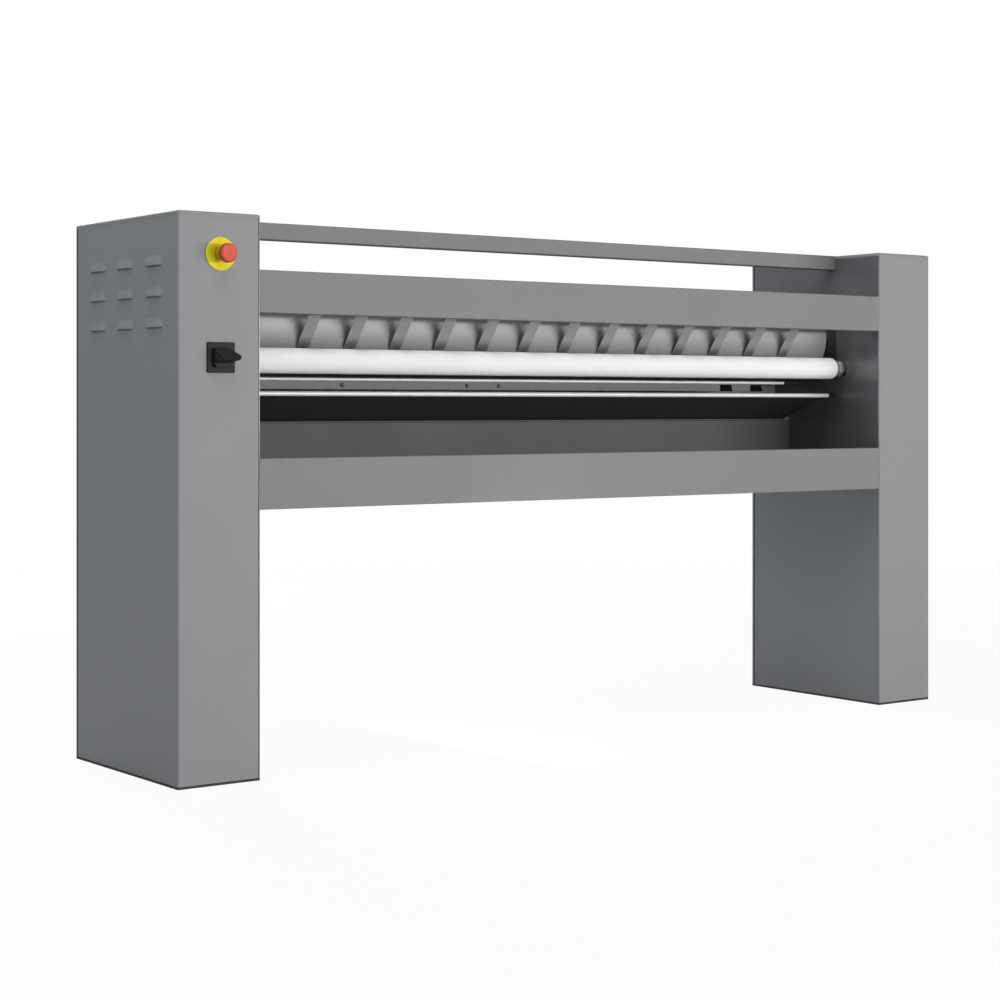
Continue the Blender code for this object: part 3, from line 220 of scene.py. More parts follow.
def lamp(name, place, target, width, height, power, colour=(1, 1, 1)):
    """A large rectangular lamp that faces a point."""
    light = bpy.data.lights.new(name, "AREA")
    light.shape = "RECTANGLE"
    light.size = width
    light.size_y = height
    light.energy = power
    light.color = colour
    body = add_object(name, light)
    body.location = place
    body.rotation_euler = (Vector(target) - Vector(place)).to_track_quat("-Z", "Y").to_euler()
    body.visible_camera = False
    print("Lamp:", name, power, "W")


lamp("key_strip", (2.4, -4.8, 0.94), (0, 0, 0.86), 4.2, 0.22, 130)
lamp("front_fill", (0, -5.2, 0.88), (0, 0, 0.86), 3.4, 0.4, 72)
lamp("side_lamp", (-3.2, 0.25, 1.95), (-0.9, 0, 0.75), 0.42, 0.63, 19.6, (0.82, 0.90, 1))
lamp("top_lamp", (-1.5, -1.2, 4.2), (0, 0, 1), 3.0, 2.0, 70)
lamp("leg_card", (-0.35, -0.05, 0.20), (0.865, 0, 0.32), 0.7, 0.3, 4.3, (0.82, 0.90, 1))
lamp("rear_lamp", (0.2, 4.2, 2.2), (0, 0, 0.7), 1.6, 2.0, 130)
bpy.context.scene.view_settings.view_transform = "Standard"

# %% [markdown]
# ## Shared surface effects
# Real sheet and castings are never one even colour. Three effects are used by many finishes here: a fine
# grain of soft dimples, long straight lines left by brushing or turning, and a woven cloth. Each is a shader
# group with named inputs, so that one graph serves every finish with its own values. It gives a tone near
# one, to multiply into a colour, and a height for a Bump node. Grain and lines read Object coordinates, which
# stay with the piece when it turns.

# %% Group helper


def surface_group(name, numbers, pattern):
    """A shader group with named numbers, whose pattern gives the swing of the tone and the height."""
    group = bpy.data.node_groups.new(name, "ShaderNodeTree")
    for title, value in numbers.items():
        socket = group.interface.new_socket(title, in_out="INPUT", socket_type="NodeSocketFloat")
        socket.default_value = value
    for title in ("Tone", "Height"):
        group.interface.new_socket(title, in_out="OUTPUT", socket_type="NodeSocketFloat")
    given = group.nodes.new("NodeGroupInput").outputs
    swing, height = pattern(group, given)
    tone = math_node(group, "ADD", math_node(group, "MULTIPLY", swing, given["Tone Range"]), 1)
    feed(group, group.nodes.new("NodeGroupOutput"), {"Tone": tone, "Height": height})
    print("Group:", name)
    return group


print("Group helpers: 1")

# %% [markdown]
# ### Grain
# Hammer paint, powder coat and moulded plastic all carry tiny dimples over slower, cloudy changes of tone.
# Two noises at different scales give both.

# %% Grain group


def grain(tree, given):
    """Dimples over clouds, of which the dimples alone give the height."""
    place = object_place(tree)
    dimples = noise_node(tree, place, given["Dimple Scale"], 2)
    cloud = noise_node(tree, place, given["Cloud Scale"], 4)
    return math_node(tree, "SUBTRACT", math_node(tree, "ADD", dimples, cloud), 1), dimples


grain_group = surface_group("soft_grain", {"Dimple Scale": 400, "Cloud Scale": 3, "Tone Range": 0.06}, grain)

# %% [markdown]
# ### Brushed lines
# Bright steel shows fine lines along the way it was brushed, rolled or turned. A noise that is squeezed
# across the lines and drawn out along them gives streaks. One group per direction keeps the graphs plain:
# along X for sheets that run between the cabinets, round X for everything that was turned in a lathe, and
# one for narrow strips and the belt.

# %% Brushed line groups


def line_group(name, stretch):
    """Streaks that run along the axis with the smallest factor."""

    def streaks(tree, given):
        place = object_place(tree, stretch)
        fine = noise_node(tree, place, given["Line Scale"], 5)
        coarse = noise_node(tree, place, math_node(tree, "MULTIPLY", given["Line Scale"], 0.17), 3)
        return math_node(tree, "SUBTRACT", math_node(tree, "ADD", fine, coarse), 1), fine

    return surface_group(name, {"Line Scale": 60, "Tone Range": 0.15}, streaks)


turned_lines = line_group("turned_lines", (12, 0.25, 0.25))
rolled_lines = line_group("rolled_lines", (0.12, 10, 10))
strip_lines = line_group("strip_lines", (12, 1.5, 0.35))

# %% [markdown]
# ### Weave
# Ironing cloth is a plain weave: threads over and under in two directions. Two wave textures at right angles
# give the threads, one along X and one round the roller, which reads the piece's own UV map.

# %% Weave group


def weave(tree, given):
    """Threads in both directions of the piece's own UV map."""
    place = tree_node(tree, "ShaderNodeTexCoord", {}).outputs["UV"]
    wave = {"Vector": place, "Scale": given["Threads"], "Distortion": 0.6, "Detail": 1}
    along, around = [tree_node(tree, "ShaderNodeTexWave", wave, bands_direction=direction).outputs["Fac"]
                     for direction in ("X", "Y")]
    threads = math_node(tree, "MULTIPLY", along, around)
    return math_node(tree, "SUBTRACT", threads, 0.3), threads


weave_group = surface_group("plain_weave", {"Threads": 900, "Tone Range": 0.05}, weave)

# %% [markdown]
# ## Finishes
# Every finish is a Principled shader whose colour is multiplied by a group's tone and whose normal comes
# from a group's height. A second noise wanders the roughness a little, because an even gloss looks false.
# A second helper paints shade into a finish: it grows darker toward one place along an axis.

# %% Finish helpers


def finish(name, colour, roughness, metallic, effect, values, bump, wander=0.05, specular=0.5):
    """A material with a plain colour, an effect with its values, a bump and a wandering roughness."""
    material = bpy.data.materials.new(name)
    material.use_nodes = True
    tree = material.node_tree
    group = tree_node(tree, "ShaderNodeGroup", {}, node_tree=effect)
    for socket, value in zip(group.inputs, values):
        socket.default_value = value
    swing = math_node(tree, "SUBTRACT", noise_node(tree, object_place(tree), 7, 3), 0.5)
    drift = math_node(tree, "MULTIPLY", swing, 2 * wander)
    relief = {"Strength": bump, "Distance": 0.0004, "Height": group.outputs["Height"]}
    feed(tree, tree.nodes["Principled BSDF"], {
        "Base Color": multiplied(tree, (*colour, 1), group.outputs["Tone"]), "Metallic": metallic,
        "Roughness": math_node(tree, "ADD", drift, roughness), "Specular IOR Level": specular,
        "Normal": result(tree, "ShaderNodeBump", relief)})
    return material


# Painted shade: this multiplies a finish's colour by a ramp that darkens it along an axis.
def painted_shade_along(material, axis, start, end, share):
    """Paint shade into a finish, which grows darker from one place to another along an axis."""
    tree = material.node_tree
    shader = tree.nodes["Principled BSDF"]
    parts = tree_node(tree, "ShaderNodeSeparateXYZ", {0: object_place(tree)}).outputs
    plain = shader.inputs["Base Color"].links[0].from_socket
    feed(tree, shader, {"Base Color": multiplied(tree, plain, ramp(tree, parts[axis], start, end, 1, share))})
    return material


print("Finish helpers: 2")

# %% [markdown]
# ### The finishes of this machine
# The cabinets wear a silver grey hammer paint with a few metal flakes. The channels and the bar between them
# get a darker copy of it, as painted shade. The inner walls are smoother, so that they faintly mirror the
# bright roller, and darker, as painted shade. The tray and the flap's flat part are near black, as painted
# shade. The cylinder is ground steel with lines round it. Sheets, strips and tubes are brighter or duller
# steels, the castings are rough, and the controls are moulded plastics with a fine grain.
# The values in brackets are the scales and the tone range of the effect.

# %% Finishes
paint = finish("hammer_paint", (0.240, 0.242, 0.247), 0.6, 0.1, grain_group, (420, 2.5, 0.05), 0.10)
# Painted shade: a darker copy of the hammer paint for the sheets between the cabinets.
span_paint_and_shade = finish("span_paint_and_shade", (0.190, 0.191, 0.193), 0.6, 0.1, grain_group, (420, 2.5, 0.05), 0.10)
# Painted shade: the inner paint is darker than the hammer paint. Its gloss is real.
inner_paint_and_shade = finish("inner_paint_and_shade", (0.165, 0.168, 0.175), 0.22, 0.3, grain_group, (420, 3, 0.06), 0.08)
# Painted shade: near black paint for the tray, which lies in shade inside the passage.
tray_paint_and_shade = finish("tray_paint_and_shade", (0.075, 0.075, 0.077), 0.6, 0, grain_group, (420, 3, 0.1), 0.1)
# Painted shade: near black for the flap's flat part, which lies in shade.
flap_painted_shade = finish("flap_painted_shade", (0.027, 0.027, 0.028), 0.6, 0, rolled_lines, (60, 0.15), 0.05)
dark_paint = finish("dark_paint", (0.012, 0.012, 0.013), 0.55, 0, grain_group, (700, 6, 0.3), 0.2)
motor_paint = finish("motor_paint", (0.035, 0.037, 0.04), 0.5, 0, grain_group, (500, 9, 0.3), 0.25)
ground_steel = finish("ground_steel", (0.26, 0.26, 0.261), 0.55, 0.6, turned_lines, (60, 0.05), 0.04, 0.03)
bright_sheet = finish("bright_sheet", (0.80, 0.80, 0.805), 0.45, 0.25, rolled_lines, (60, 0.10), 0.05)
strip_steel = finish("strip_steel", (0.42, 0.42, 0.422), 0.55, 0.85, strip_lines, (60, 0.08), 0.05)
# Painted shade: the comb's copy of the strip steel darkens toward the strips' tips.
comb_steel_and_shade = finish("comb_steel_and_shade", (0.40, 0.40, 0.402), 0.55, 0.85, strip_lines, (60, 0.08), 0.05)
turned_steel = finish("turned_steel", (0.66, 0.66, 0.665), 0.34, 0.85, turned_lines, (90, 0.14), 0.05)
zinc, rail_zinc_and_shade = [finish(name, (0.12, 0.121, 0.124), 0.55, 0.4, grain_group, (260, 14, 0.12), 0.12)
                   for name in ("zinc_plate", "rail_zinc_and_shade")]
dark_zinc = finish("dark_zinc", (0.05, 0.051, 0.053), 0.45, 0.7, grain_group, (300, 30, 0.3), 0.15)
iron = finish("cast_iron", (0.075, 0.075, 0.08), 0.62, 0.6, grain_group, (190, 18, 0.45), 0.6)
rubber = finish("belt_rubber", (0.011, 0.011, 0.011), 0.75, 0, strip_lines, (90, 0.5), 0.3)
yellow = finish("yellow_plastic", (0.80, 0.66, 0.006), 0.5, 0, grain_group, (900, 20, 0.08), 0.08,
                specular=0.15)
# Partly painted shade: a darker yellow for the neck, which lies in the head's shade.
neck_yellow_and_shade = finish("neck_plastic_and_shade", (0.42, 0.34, 0.012), 0.5, 0, grain_group, (900, 40, 0.2), 0.1)
# The red gets a painted shade on the head's rim further down.
red = finish("red_plastic", (0.66, 0.105, 0.065), 0.42, 0, grain_group, (900, 40, 0.12), 0.06, specular=0.2)
black = finish("black_plastic", (0.009, 0.009, 0.0095), 0.5, 0, grain_group, (1100, 40, 0.3), 0.12,
               specular=0.18)
# Painted shade: a darker, duller copy of the black for the clips, which lie in shade.
clip_black_and_shade = finish("clip_black_and_shade", (0.004, 0.004, 0.004), 0.8, 0, grain_group, (1100, 40, 0.3), 0.12,
                    specular=0.05)
cloth = finish("ironing_cloth", (0.94, 0.94, 0.93), 0.95, 0, weave_group, (350, 0.06), 0.3, 0.02)
print("Finishes:", len(bpy.data.materials))

# %% [markdown]
# ## Building helpers
# Most pieces here are one of four things: a turned piece, a bent sheet, a stack of rounded plans, or a solid
# whose edges only need to be broken. One helper makes each. Every helper leaves a closed mesh at the origin
# with its faces outwards, and a last helper hands the piece over to the solid that it stands for.

# %% Mesh helpers


def smooth(mesh, sharp):
    """Shade a mesh smoothly, apart from edges sharper than an angle in degrees."""
    mesh.shade_smooth()
    mesh.set_sharp_from_angle(angle=math.radians(sharp))


def add_piece(name, shape, material, sharp=35):
    """Turn a bmesh into a piece with merged corners, outward faces and smooth shading."""
    bmesh.ops.remove_doubles(shape, verts=shape.verts, dist=1e-6)
    bmesh.ops.recalc_face_normals(shape, faces=shape.faces)
    mesh = bpy.data.meshes.new(name)
    shape.to_mesh(mesh)
    shape.free()
    mesh.materials.append(material)
    smooth(mesh, sharp)
    return add_object(name, mesh)


def settle(piece):
    """Apply a piece's modifiers and keep the result as one plain mesh."""
    graph = bpy.context.evaluated_depsgraph_get()
    mesh = bpy.data.meshes.new_from_object(piece.evaluated_get(graph))
    piece.modifiers.clear()
    piece.data = mesh
    return piece


def stand_for(piece, node, replace=True):
    """Give a piece the body of its solid, which is then not shown."""
    # Large flat faces rule the shading, so that no streaks run over them.
    weights = piece.modifiers.new("even_shading", "WEIGHTED_NORMAL")
    weights.keep_sharp = True
    weights.weight = 100
    settle(piece)
    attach(piece, body_of[node])
    if replace:
        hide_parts(node)
    return piece


def rounded_edges(piece, width, steps=2, limit=32):
    """Break a piece's sharp edges with a small round."""
    edge = piece.modifiers.new("broken_edges", "BEVEL")
    edge.width = width
    edge.segments = steps
    edge.limit_method = "ANGLE"
    edge.angle_limit = math.radians(limit)
    edge.miter_outer = "MITER_ARC"
    settle(piece)
    smooth(piece.data, 50)
    return piece


def softened(node, material, width, steps=2):
    """A copy of a solid with merged flat faces and slightly rounded edges, in its place."""
    shape = bmesh.new()
    shape.from_mesh(frame["nodes"][node].data)
    bmesh.ops.remove_doubles(shape, verts=shape.verts, dist=1e-5)
    bmesh.ops.dissolve_limit(shape, angle_limit=math.radians(0.5), verts=shape.verts, edges=shape.edges)
    stand_for(rounded_edges(add_piece("fine_" + node, shape, material), width, steps), node)


def cut(piece, tool):
    """Take a tool's volume out of a piece and delete the tool."""
    change = piece.modifiers.new("cut", "BOOLEAN")
    change.operation = "DIFFERENCE"
    change.object = tool
    settle(piece)
    bpy.data.objects.remove(tool)


def bridge(shape, first, second):
    """Join two rings of corners, or a ring and a point, with a wall of faces."""
    count = max(len(first), len(second))
    for index in range(count):
        after = (index + 1) % count
        corners = [first[index % len(first)], first[after % len(first)],
                   second[after % len(second)], second[index % len(second)]]
        shape.faces.new(list(dict.fromkeys(corners)))


def skin(shape, rings):
    """Join a row of rings with walls and close both ends."""
    shape.faces.new(rings[0])
    shape.faces.new(rings[-1])
    for first, second in zip(rings, rings[1:]):
        bridge(shape, first, second)


def add_block(shape, middle, size):
    """Add a box of a size round a middle point to a shape."""
    bmesh.ops.create_cube(shape, size=1, matrix=Matrix.Translation(middle) @ Matrix.Diagonal((*size, 1)))


def middle_of(node):
    """The middle of a solid's box."""
    low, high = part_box(node)
    return (low + high) / 2


print("Mesh helpers: 11")

# %% Turned piece helpers


def spot(axis, along, across, up):
    """A point from a length along an axis and two lengths across it."""
    return Vector({"X": (along, across, up), "Y": (across, along, up), "Z": (across, up, along)}[axis])


def turned(name, profile, axis, centre, material, sides=64, sharp=35):
    """Turn a profile of (along, radius) points round an axis, as a lathe does."""
    shape = bmesh.new()
    rings = []
    for along, radius in profile:
        circle = arc(centre, radius, 0, 360, sides)[:sides if radius else 1]
        rings.append([shape.verts.new(spot(axis, along, *point)) for point in circle])
    for first, second in zip(rings, rings[1:]):
        bridge(shape, first, second)
    if len(rings[0]) > 1:
        bridge(shape, rings[-1], rings[0])
    return add_piece(name, shape, material, sharp)


def arc(centre, radius, start, end, steps):
    """Points (along, radius) on a quarter or other share of a circle, in degrees."""
    angles = [math.radians(start + (end - start) * step / steps) for step in range(steps + 1)]
    return [(centre[0] + radius * math.cos(angle), centre[1] + radius * math.sin(angle)) for angle in angles]


def rod(start, end, radius):
    """The profile of a plain round rod."""
    return [(start, 0), (start, radius), (end, radius), (end, 0)]


def counted_from(start, points):
    """A profile whose lengths are counted from a start."""
    return [(start + along, radius) for along, radius in points]


def on_side(side, points):
    """A profile on the right for a side of 1, or mirrored to the left for -1."""
    return [(side * along, radius) for along, radius in points]


print("Turning helpers: 6")

# %% Bent sheet helpers


def rounded_path(corners, radius, steps=8):
    """Round the inner corners of a flat path with arcs."""
    points = [Vector(corners[0])]
    for before, corner, after in zip(corners, corners[1:], corners[2:]):
        corner = Vector(corner)
        inward = (Vector(before) - corner).normalized()
        outward = (Vector(after) - corner).normalized()
        half_angle = inward.angle(outward) / 2
        reach = radius / math.tan(half_angle)
        middle = corner + (inward + outward).normalized() * (radius / math.sin(half_angle))
        first = corner + inward * reach - middle
        turn = first.angle_signed(corner + outward * reach - middle)
        for step in range(steps + 1):
            points.append(middle + Matrix.Rotation(-turn * step / steps, 2) @ first)
    points.append(Vector(corners[-1]))
    return points


def sheet_outline(path, left, right):
    """The closed outline of a sheet that follows a path, with a thickness on either side."""
    directions = [(b - a).normalized() for a, b in zip(path, path[1:])]
    normals = [Vector((-d.y, d.x)) for d in directions]
    mitres = [(a + b) / (1 + a.dot(b)) for a, b in zip([normals[0]] + normals, normals + [normals[-1]])]
    return [p + m * left for p, m in zip(path, mitres)] + [p - m * right for p, m in zip(path, mitres)][::-1]


def rounded_square(centre, half, radius):
    """The outline of a square with rounded corners."""
    corners = ((0, -half), (half, -half), (half, half), (-half, half), (-half, -half), (0, -half))
    return [Vector(centre) + point for point in rounded_path(corners, radius)[1:]]


def drawn_out(name, outline, axis, start, end, material, edge=0.0003, sharp=35):
    """Extrude an outline along an axis and break the edges of its two ends."""
    shape = bmesh.new()
    skin(shape, [[shape.verts.new(spot(axis, along, *point)) for point in outline] for along in (start, end)])
    piece = add_piece(name, shape, material, sharp)
    return rounded_edges(piece, edge, 1, 50) if edge else piece


print("Sheet helpers: 4")

# %% [markdown]
# ### Geometry Nodes helpers
# Louvres, comb strips, screws, bolts and cooling fins repeat. Three small trees place them: one in rows and
# columns, one in a ring, and one on marked points. Each takes the piece to repeat as an input, realizes its
# instances and sets the material. The result is turned into a plain mesh, because an export drops instances.

# %% Tree helpers


def new_tree(name, inputs, build):
    """A Geometry Nodes tree with named inputs. It realizes what is built and sets the material last."""
    tree = bpy.data.node_groups.new(name, "GeometryNodeTree")
    for title, kind in {**inputs, "Material": "Material"}.items():
        tree.interface.new_socket(title, in_out="INPUT", socket_type="NodeSocket" + kind)
    tree.interface.new_socket("Geometry", in_out="OUTPUT", socket_type="NodeSocketGeometry")
    given = tree.nodes.new("NodeGroupInput").outputs
    real = result(tree, "GeometryNodeRealizeInstances", {"Geometry": build(tree, given)})
    painted = result(tree, "GeometryNodeSetMaterial", {"Geometry": real, "Material": given["Material"]})
    feed(tree, tree.nodes.new("NodeGroupOutput"), {"Geometry": painted})
    print("Tree:", name)
    return tree


def grow(name, tree, values, sharp=35, marks=()):
    """Run a tree with named values on a mesh of marked points and keep the result as a plain mesh."""
    mesh = bpy.data.meshes.new(name)
    mesh.from_pydata(marks, [], [])
    piece = add_object(name, mesh)
    modifier = piece.modifiers.new("tree", "NODES")
    modifier.node_group = tree
    for item in tree.interface.items_tree:
        if item.in_out == "INPUT" and item.name in values:
            modifier[item.identifier] = values[item.name]
    settle(piece)
    smooth(piece.data, sharp)
    return piece


def repeated(name, tree, piece, material, values, sharp=35, marks=()):
    """Grow a tree that repeats a piece, and delete the piece itself."""
    made = grow(name, tree, {"Piece": piece, "Material": material, **values}, sharp, marks)
    bpy.data.objects.remove(piece)
    return made


def line_of_points(tree, count, step, start=(0, 0, 0)):
    """Points at equal steps from a start."""
    inputs = {"Count": count, "Start Location": start, "Offset": step}
    return result(tree, "GeometryNodeMeshLine", inputs, mode="OFFSET")


def on_points(tree, points, piece, **turn):
    """A piece's mesh on every point, turned by a rotation where one is given."""
    mesh = tree_node(tree, "GeometryNodeObjectInfo", {"Object": piece}).outputs["Geometry"]
    return result(tree, "GeometryNodeInstanceOnPoints", {"Points": points, "Instance": mesh, **turn})


print("Tree helpers: 5")

# %% Trees for repeated pieces


def rows_and_columns(tree, given):
    """One row of points stands at the start of every row, and the piece on all of them."""
    row = line_of_points(tree, given["Columns"], given["Column Step"], given["Start"])
    starts = line_of_points(tree, given["Rows"], given["Row Step"])
    rows = result(tree, "GeometryNodeInstanceOnPoints", {"Points": starts, "Instance": row})
    return on_points(tree, result(tree, "GeometryNodeRealizeInstances", {"Geometry": rows}), given["Piece"])


def ring(tree, given):
    """The piece is turned by equal steps round an axis through the centre."""
    points = line_of_points(tree, given["Count"], (0, 0, 0), given["Centre"])
    step = math_node(tree, "DIVIDE", math.tau, given["Count"])
    angle = math_node(tree, "MULTIPLY", result(tree, "GeometryNodeInputIndex", {}), step)
    scaled = {"Vector": given["Turn Axis"], "Scale": angle}
    turn = result(tree, "ShaderNodeVectorMath", scaled, operation="SCALE")
    rotation = result(tree, "FunctionNodeEulerToRotation", {"Euler": turn})
    return on_points(tree, points, given["Piece"], Rotation=rotation)


def on_marks(tree, given):
    """The piece stands on every marked point."""
    return on_points(tree, given["Marks"], given["Piece"])


rows_tree = new_tree("rows_and_columns", {
    "Piece": "Object", "Columns": "Int", "Rows": "Int", "Start": "Vector", "Column Step": "Vector",
    "Row Step": "Vector"}, rows_and_columns)
ring_tree = new_tree("ring", {
    "Piece": "Object", "Count": "Int", "Centre": "Vector", "Turn Axis": "Vector"}, ring)
marks_tree = new_tree("on_marks", {"Marks": "Geometry", "Piece": "Object"}, on_marks)


def in_rows(name, piece, material, counts, start, steps):
    """Repeat a piece in columns and rows, by a count and a step each."""
    return repeated(name, rows_tree, piece, material, {
        "Columns": counts[0], "Rows": counts[1], "Start": start,
        "Column Step": steps[0], "Row Step": steps[1]})

# %% [markdown]
# ## The cabinets
# Each cabinet is a folded sheet with louvres, an inner side sheet, a cover with a rounded edge, a dark base
# strip and a screwed rear panel. The outer sheet is drawn as its plan, with wide bends, and pulled upwards.
# The louvres are pressed from the same sheet: a slot is cut and the metal above it bulges out as a hood.

# %% Sizes of the cabinets
inner_low, inner_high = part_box("left_inner_panel")
base_low, base_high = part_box("left_base")
lid_low, lid_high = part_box("left_top_cover")
half_passage = -inner_high.x
cabinet_width = base_high.x - base_low.x
front_y = base_low.y
cabinet_depth = inner_high.y - front_y
panel_depth = base_high.y - front_y
wall_bottom, wall_top = inner_low.z, inner_high.z
sheet, corner_round = 0.0015, 0.0045
print("Half passage:", round(half_passage, 4))
print("Cabinet:", round(cabinet_width, 4), "x", round(panel_depth, 4))


def plan_path(side, path):
    """Turn a path of (distance from the inner face, depth) into X and Y."""
    return [Vector((side * (half_passage + u), front_y + v)) for u, v in path]


def bent(corners, radii):
    """A path whose corners have a radius each."""
    points = [Vector(corners[0])]
    for before, corner, after, radius in zip(corners, corners[1:], corners[2:], radii):
        points.extend(rounded_path((before, corner, after), radius)[1:-1])
    return points + [Vector(corners[-1])]


def folded(node, side, corners, radii, outward, material):
    """A cabinet sheet: a bent path in plan with its thickness to one side, pulled up to the cover."""
    path = plan_path(side, bent(corners, radii))
    left, right = (sheet, 0) if side * outward > 0 else (0, sheet)
    outline = sheet_outline(path, left, right)
    return drawn_out("fine_" + node, outline, "Z", wall_bottom, wall_top, material)


# %% Louvre hood tree


def hood_shape(tree, given):
    """A grid swells toward its lower edge and stays flat at both ends."""
    grid = result(tree, "GeometryNodeMeshGrid", {
        "Size X": given["Width"], "Size Y": given["Height"], "Vertices X": 37, "Vertices Y": 13})
    place = result(tree, "GeometryNodeInputPosition", {})
    parts = tree_node(tree, "ShaderNodeSeparateXYZ", {"Vector": place}).outputs
    across = math_node(tree, "DIVIDE", parts["X"], given["Width"])
    across = math_node(tree, "MULTIPLY", math_node(tree, "ABSOLUTE", across, 0), 2)
    up = math_node(tree, "DIVIDE", parts["Y"], given["Height"])
    swell = math_node(tree, "MULTIPLY", ramp(tree, up, -0.5, 0.5, 1, 0), ramp(tree, across, 0.5, 1, 1, 0))
    lift = result(tree, "ShaderNodeCombineXYZ", {"Z": math_node(tree, "MULTIPLY", swell, given["Rise"])})
    return result(tree, "GeometryNodeSetPosition", {"Geometry": grid, "Offset": lift})


hood_tree = new_tree("louvre_hood", {"Width": "Float", "Height": "Float", "Rise": "Float"}, hood_shape)

# %% Outer sheets with louvres
louvre_width, louvre_height, louvre_rise = 0.076, 0.022, 0.0072
louvre_pitch_y, louvre_pitch_z = 0.117, 0.057
louvre_middle, louvre_top = 0.21225, 0.954


def louvre_hood(side):
    """One hood in its cabinet side's own directions, with a sheet's thickness."""
    hood = grow("hood", hood_tree, {"Width": louvre_width, "Height": louvre_height, "Rise": louvre_rise,
                                    "Material": paint})
    turn = Matrix(((0, 0, side, 0), (1, 0, 0, 0), (0, 1, 0, 0), (0, 0, 0, 1)))
    hood.data.transform(turn)
    if side < 0:
        hood.data.flip_normals()
    wall = hood.modifiers.new("sheet", "SOLIDIFY")
    wall.thickness = 0.001
    wall.offset = -1
    return settle(hood)


def outer_sheet(word, side):
    """The folded front and side of one cabinet, with its slots and hoods."""
    node = word + "_shell"
    corners = ((0.0018, 0.022), (0.0018, 0), (cabinet_width, 0), (cabinet_width, cabinet_depth),
               (cabinet_width - 0.018, cabinet_depth))
    shell = folded(node, side, corners, (0.003, corner_round, 0.003), 1, paint)
    wall = side * (half_passage + cabinet_width)
    first = Vector((wall, front_y + louvre_middle - louvre_pitch_y, louvre_top))
    slots = bmesh.new()
    for row in range(3):
        for column in range(3):
            middle = first + Vector((0, column * louvre_pitch_y, 0.004 - row * louvre_pitch_z))
            add_block(slots, middle, (0.012, louvre_width - 0.020, 0.006))
    cut(shell, add_piece("slots", slots, paint))
    start = first + Vector((-side * 0.0004, 0, louvre_height / 2))
    hoods = in_rows("fine_" + word + "_louvres", louvre_hood(side), paint, (3, 3), start,
                    ((0, louvre_pitch_y, 0), (0, 0, -louvre_pitch_z)))
    stand_for(hoods, node, False)
    stand_for(shell, node)
    print("Outer sheet:", word, "faces:", len(shell.data.polygons), "hood faces:", len(hoods.data.polygons))


for word, side in both_ends:
    outer_sheet(word, side)

# %% Inner sheets
cylinder_axis = joint_place["cylinder_spin"]
roller_axis = joint_place["roller_spin"]
pivot_axis = joint_place["pressure_release"]
flap_axis = joint_place["flap_lift"]
opening_half, opening_round = 0.089, 0.026


def inner_sheet(word, side):
    """The inner side of one cabinet with its openings for cylinder, axle, pin and supply."""
    node = word + "_inner_panel"
    corners = ((0, 0.0006), (0, cabinet_depth), (0.018, cabinet_depth))
    # The inner sheet takes the darker paint, which is partly painted shade.
    panel = folded(node, side, corners, (0.003,), -1, inner_paint_and_shade)
    near = side * (half_passage - 0.01)
    far = side * (half_passage + 0.01)

    def drill(place, radius, sides):
        """Cut a round hole through the sheet."""
        cut(panel, turned("hole", rod(near, far, radius), "X", (place.y, place.z), inner_paint_and_shade, sides))

    opening = rounded_square((cylinder_axis.y, cylinder_axis.z), opening_half, opening_round)
    cut(panel, drawn_out("opening", opening, "X", near, far, inner_paint_and_shade, 0))
    for release in range(5):
        turn = Matrix.Rotation(math.radians(release * 2), 4, "X")
        drill(pivot_axis + turn @ (roller_axis - pivot_axis), 0.009, 32)
    drill(flap_axis, 0.003, 24)
    if side < 0:
        drill(middle_of("cable_gland"), 0.0083, 32)
    stand_for(panel, node)
    print("Inner sheet:", word, "faces:", len(panel.data.polygons))


def spring_stud(word, side):
    """The stud on the inner sheet that holds the spring's lower end."""
    node = word + "_inner_panel"
    start = half_passage + sheet
    reach = max(abs(corner.x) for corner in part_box(node))
    profile = ((start, 0), (start, 0.0025), (reach - 0.0006, 0.0025), (reach, 0.0019), (reach, 0))
    centre = (pivot_axis.y + 0.060, pivot_axis.z - 0.100)
    stud = turned("fine_" + word + "_spring_stud", on_side(side, profile), "X", centre, zinc, 24)
    stand_for(stud, node, False)


for maker in (inner_sheet, spring_stud):
    for word, side in both_ends:
        maker(word, side)

# %% Covers and bases


def stacked(node, side, levels, material):
    """Stack the cabinet's plan at levels of (inset, height) into one closed piece."""
    shape = bmesh.new()
    rings = []
    for inset, height in levels:
        far, back = cabinet_width - inset, panel_depth - inset
        plan = rounded_path(((inset, inset), (far, inset), (far, back)), corner_round - inset)
        plan.append(Vector((inset, back)))
        rings.append([shape.verts.new((*point, height)) for point in plan_path(side, plan)])
    skin(shape, rings)
    stand_for(add_piece("fine_" + node, shape, material, 40), node)


lid_round = 0.004
lid_edge = arc((-lid_round, lid_high.z - lid_round), lid_round, 0, 90, 10)
lid_levels = [(0, lid_low.z - 0.0002)] + [(-inset, height) for inset, height in lid_edge]
base_levels = [(0.0005, 0), (0, 0.0005), (0, base_high.z - 0.0005), (0.0005, base_high.z)]
for word, side in both_ends:
    stacked(word + "_top_cover", side, lid_levels, paint)
    stacked(word + "_base", side, base_levels, dark_paint)
print("Cover height:", round(lid_high.z, 4))

# %% [markdown]
# ### Screws
# The rear panels, the rail and the boxes are held by pan head screws with a cross recess. One head is
# turned, the cross is cut into it once, and the trees repeat it.

# %% Screw heads and rear panels


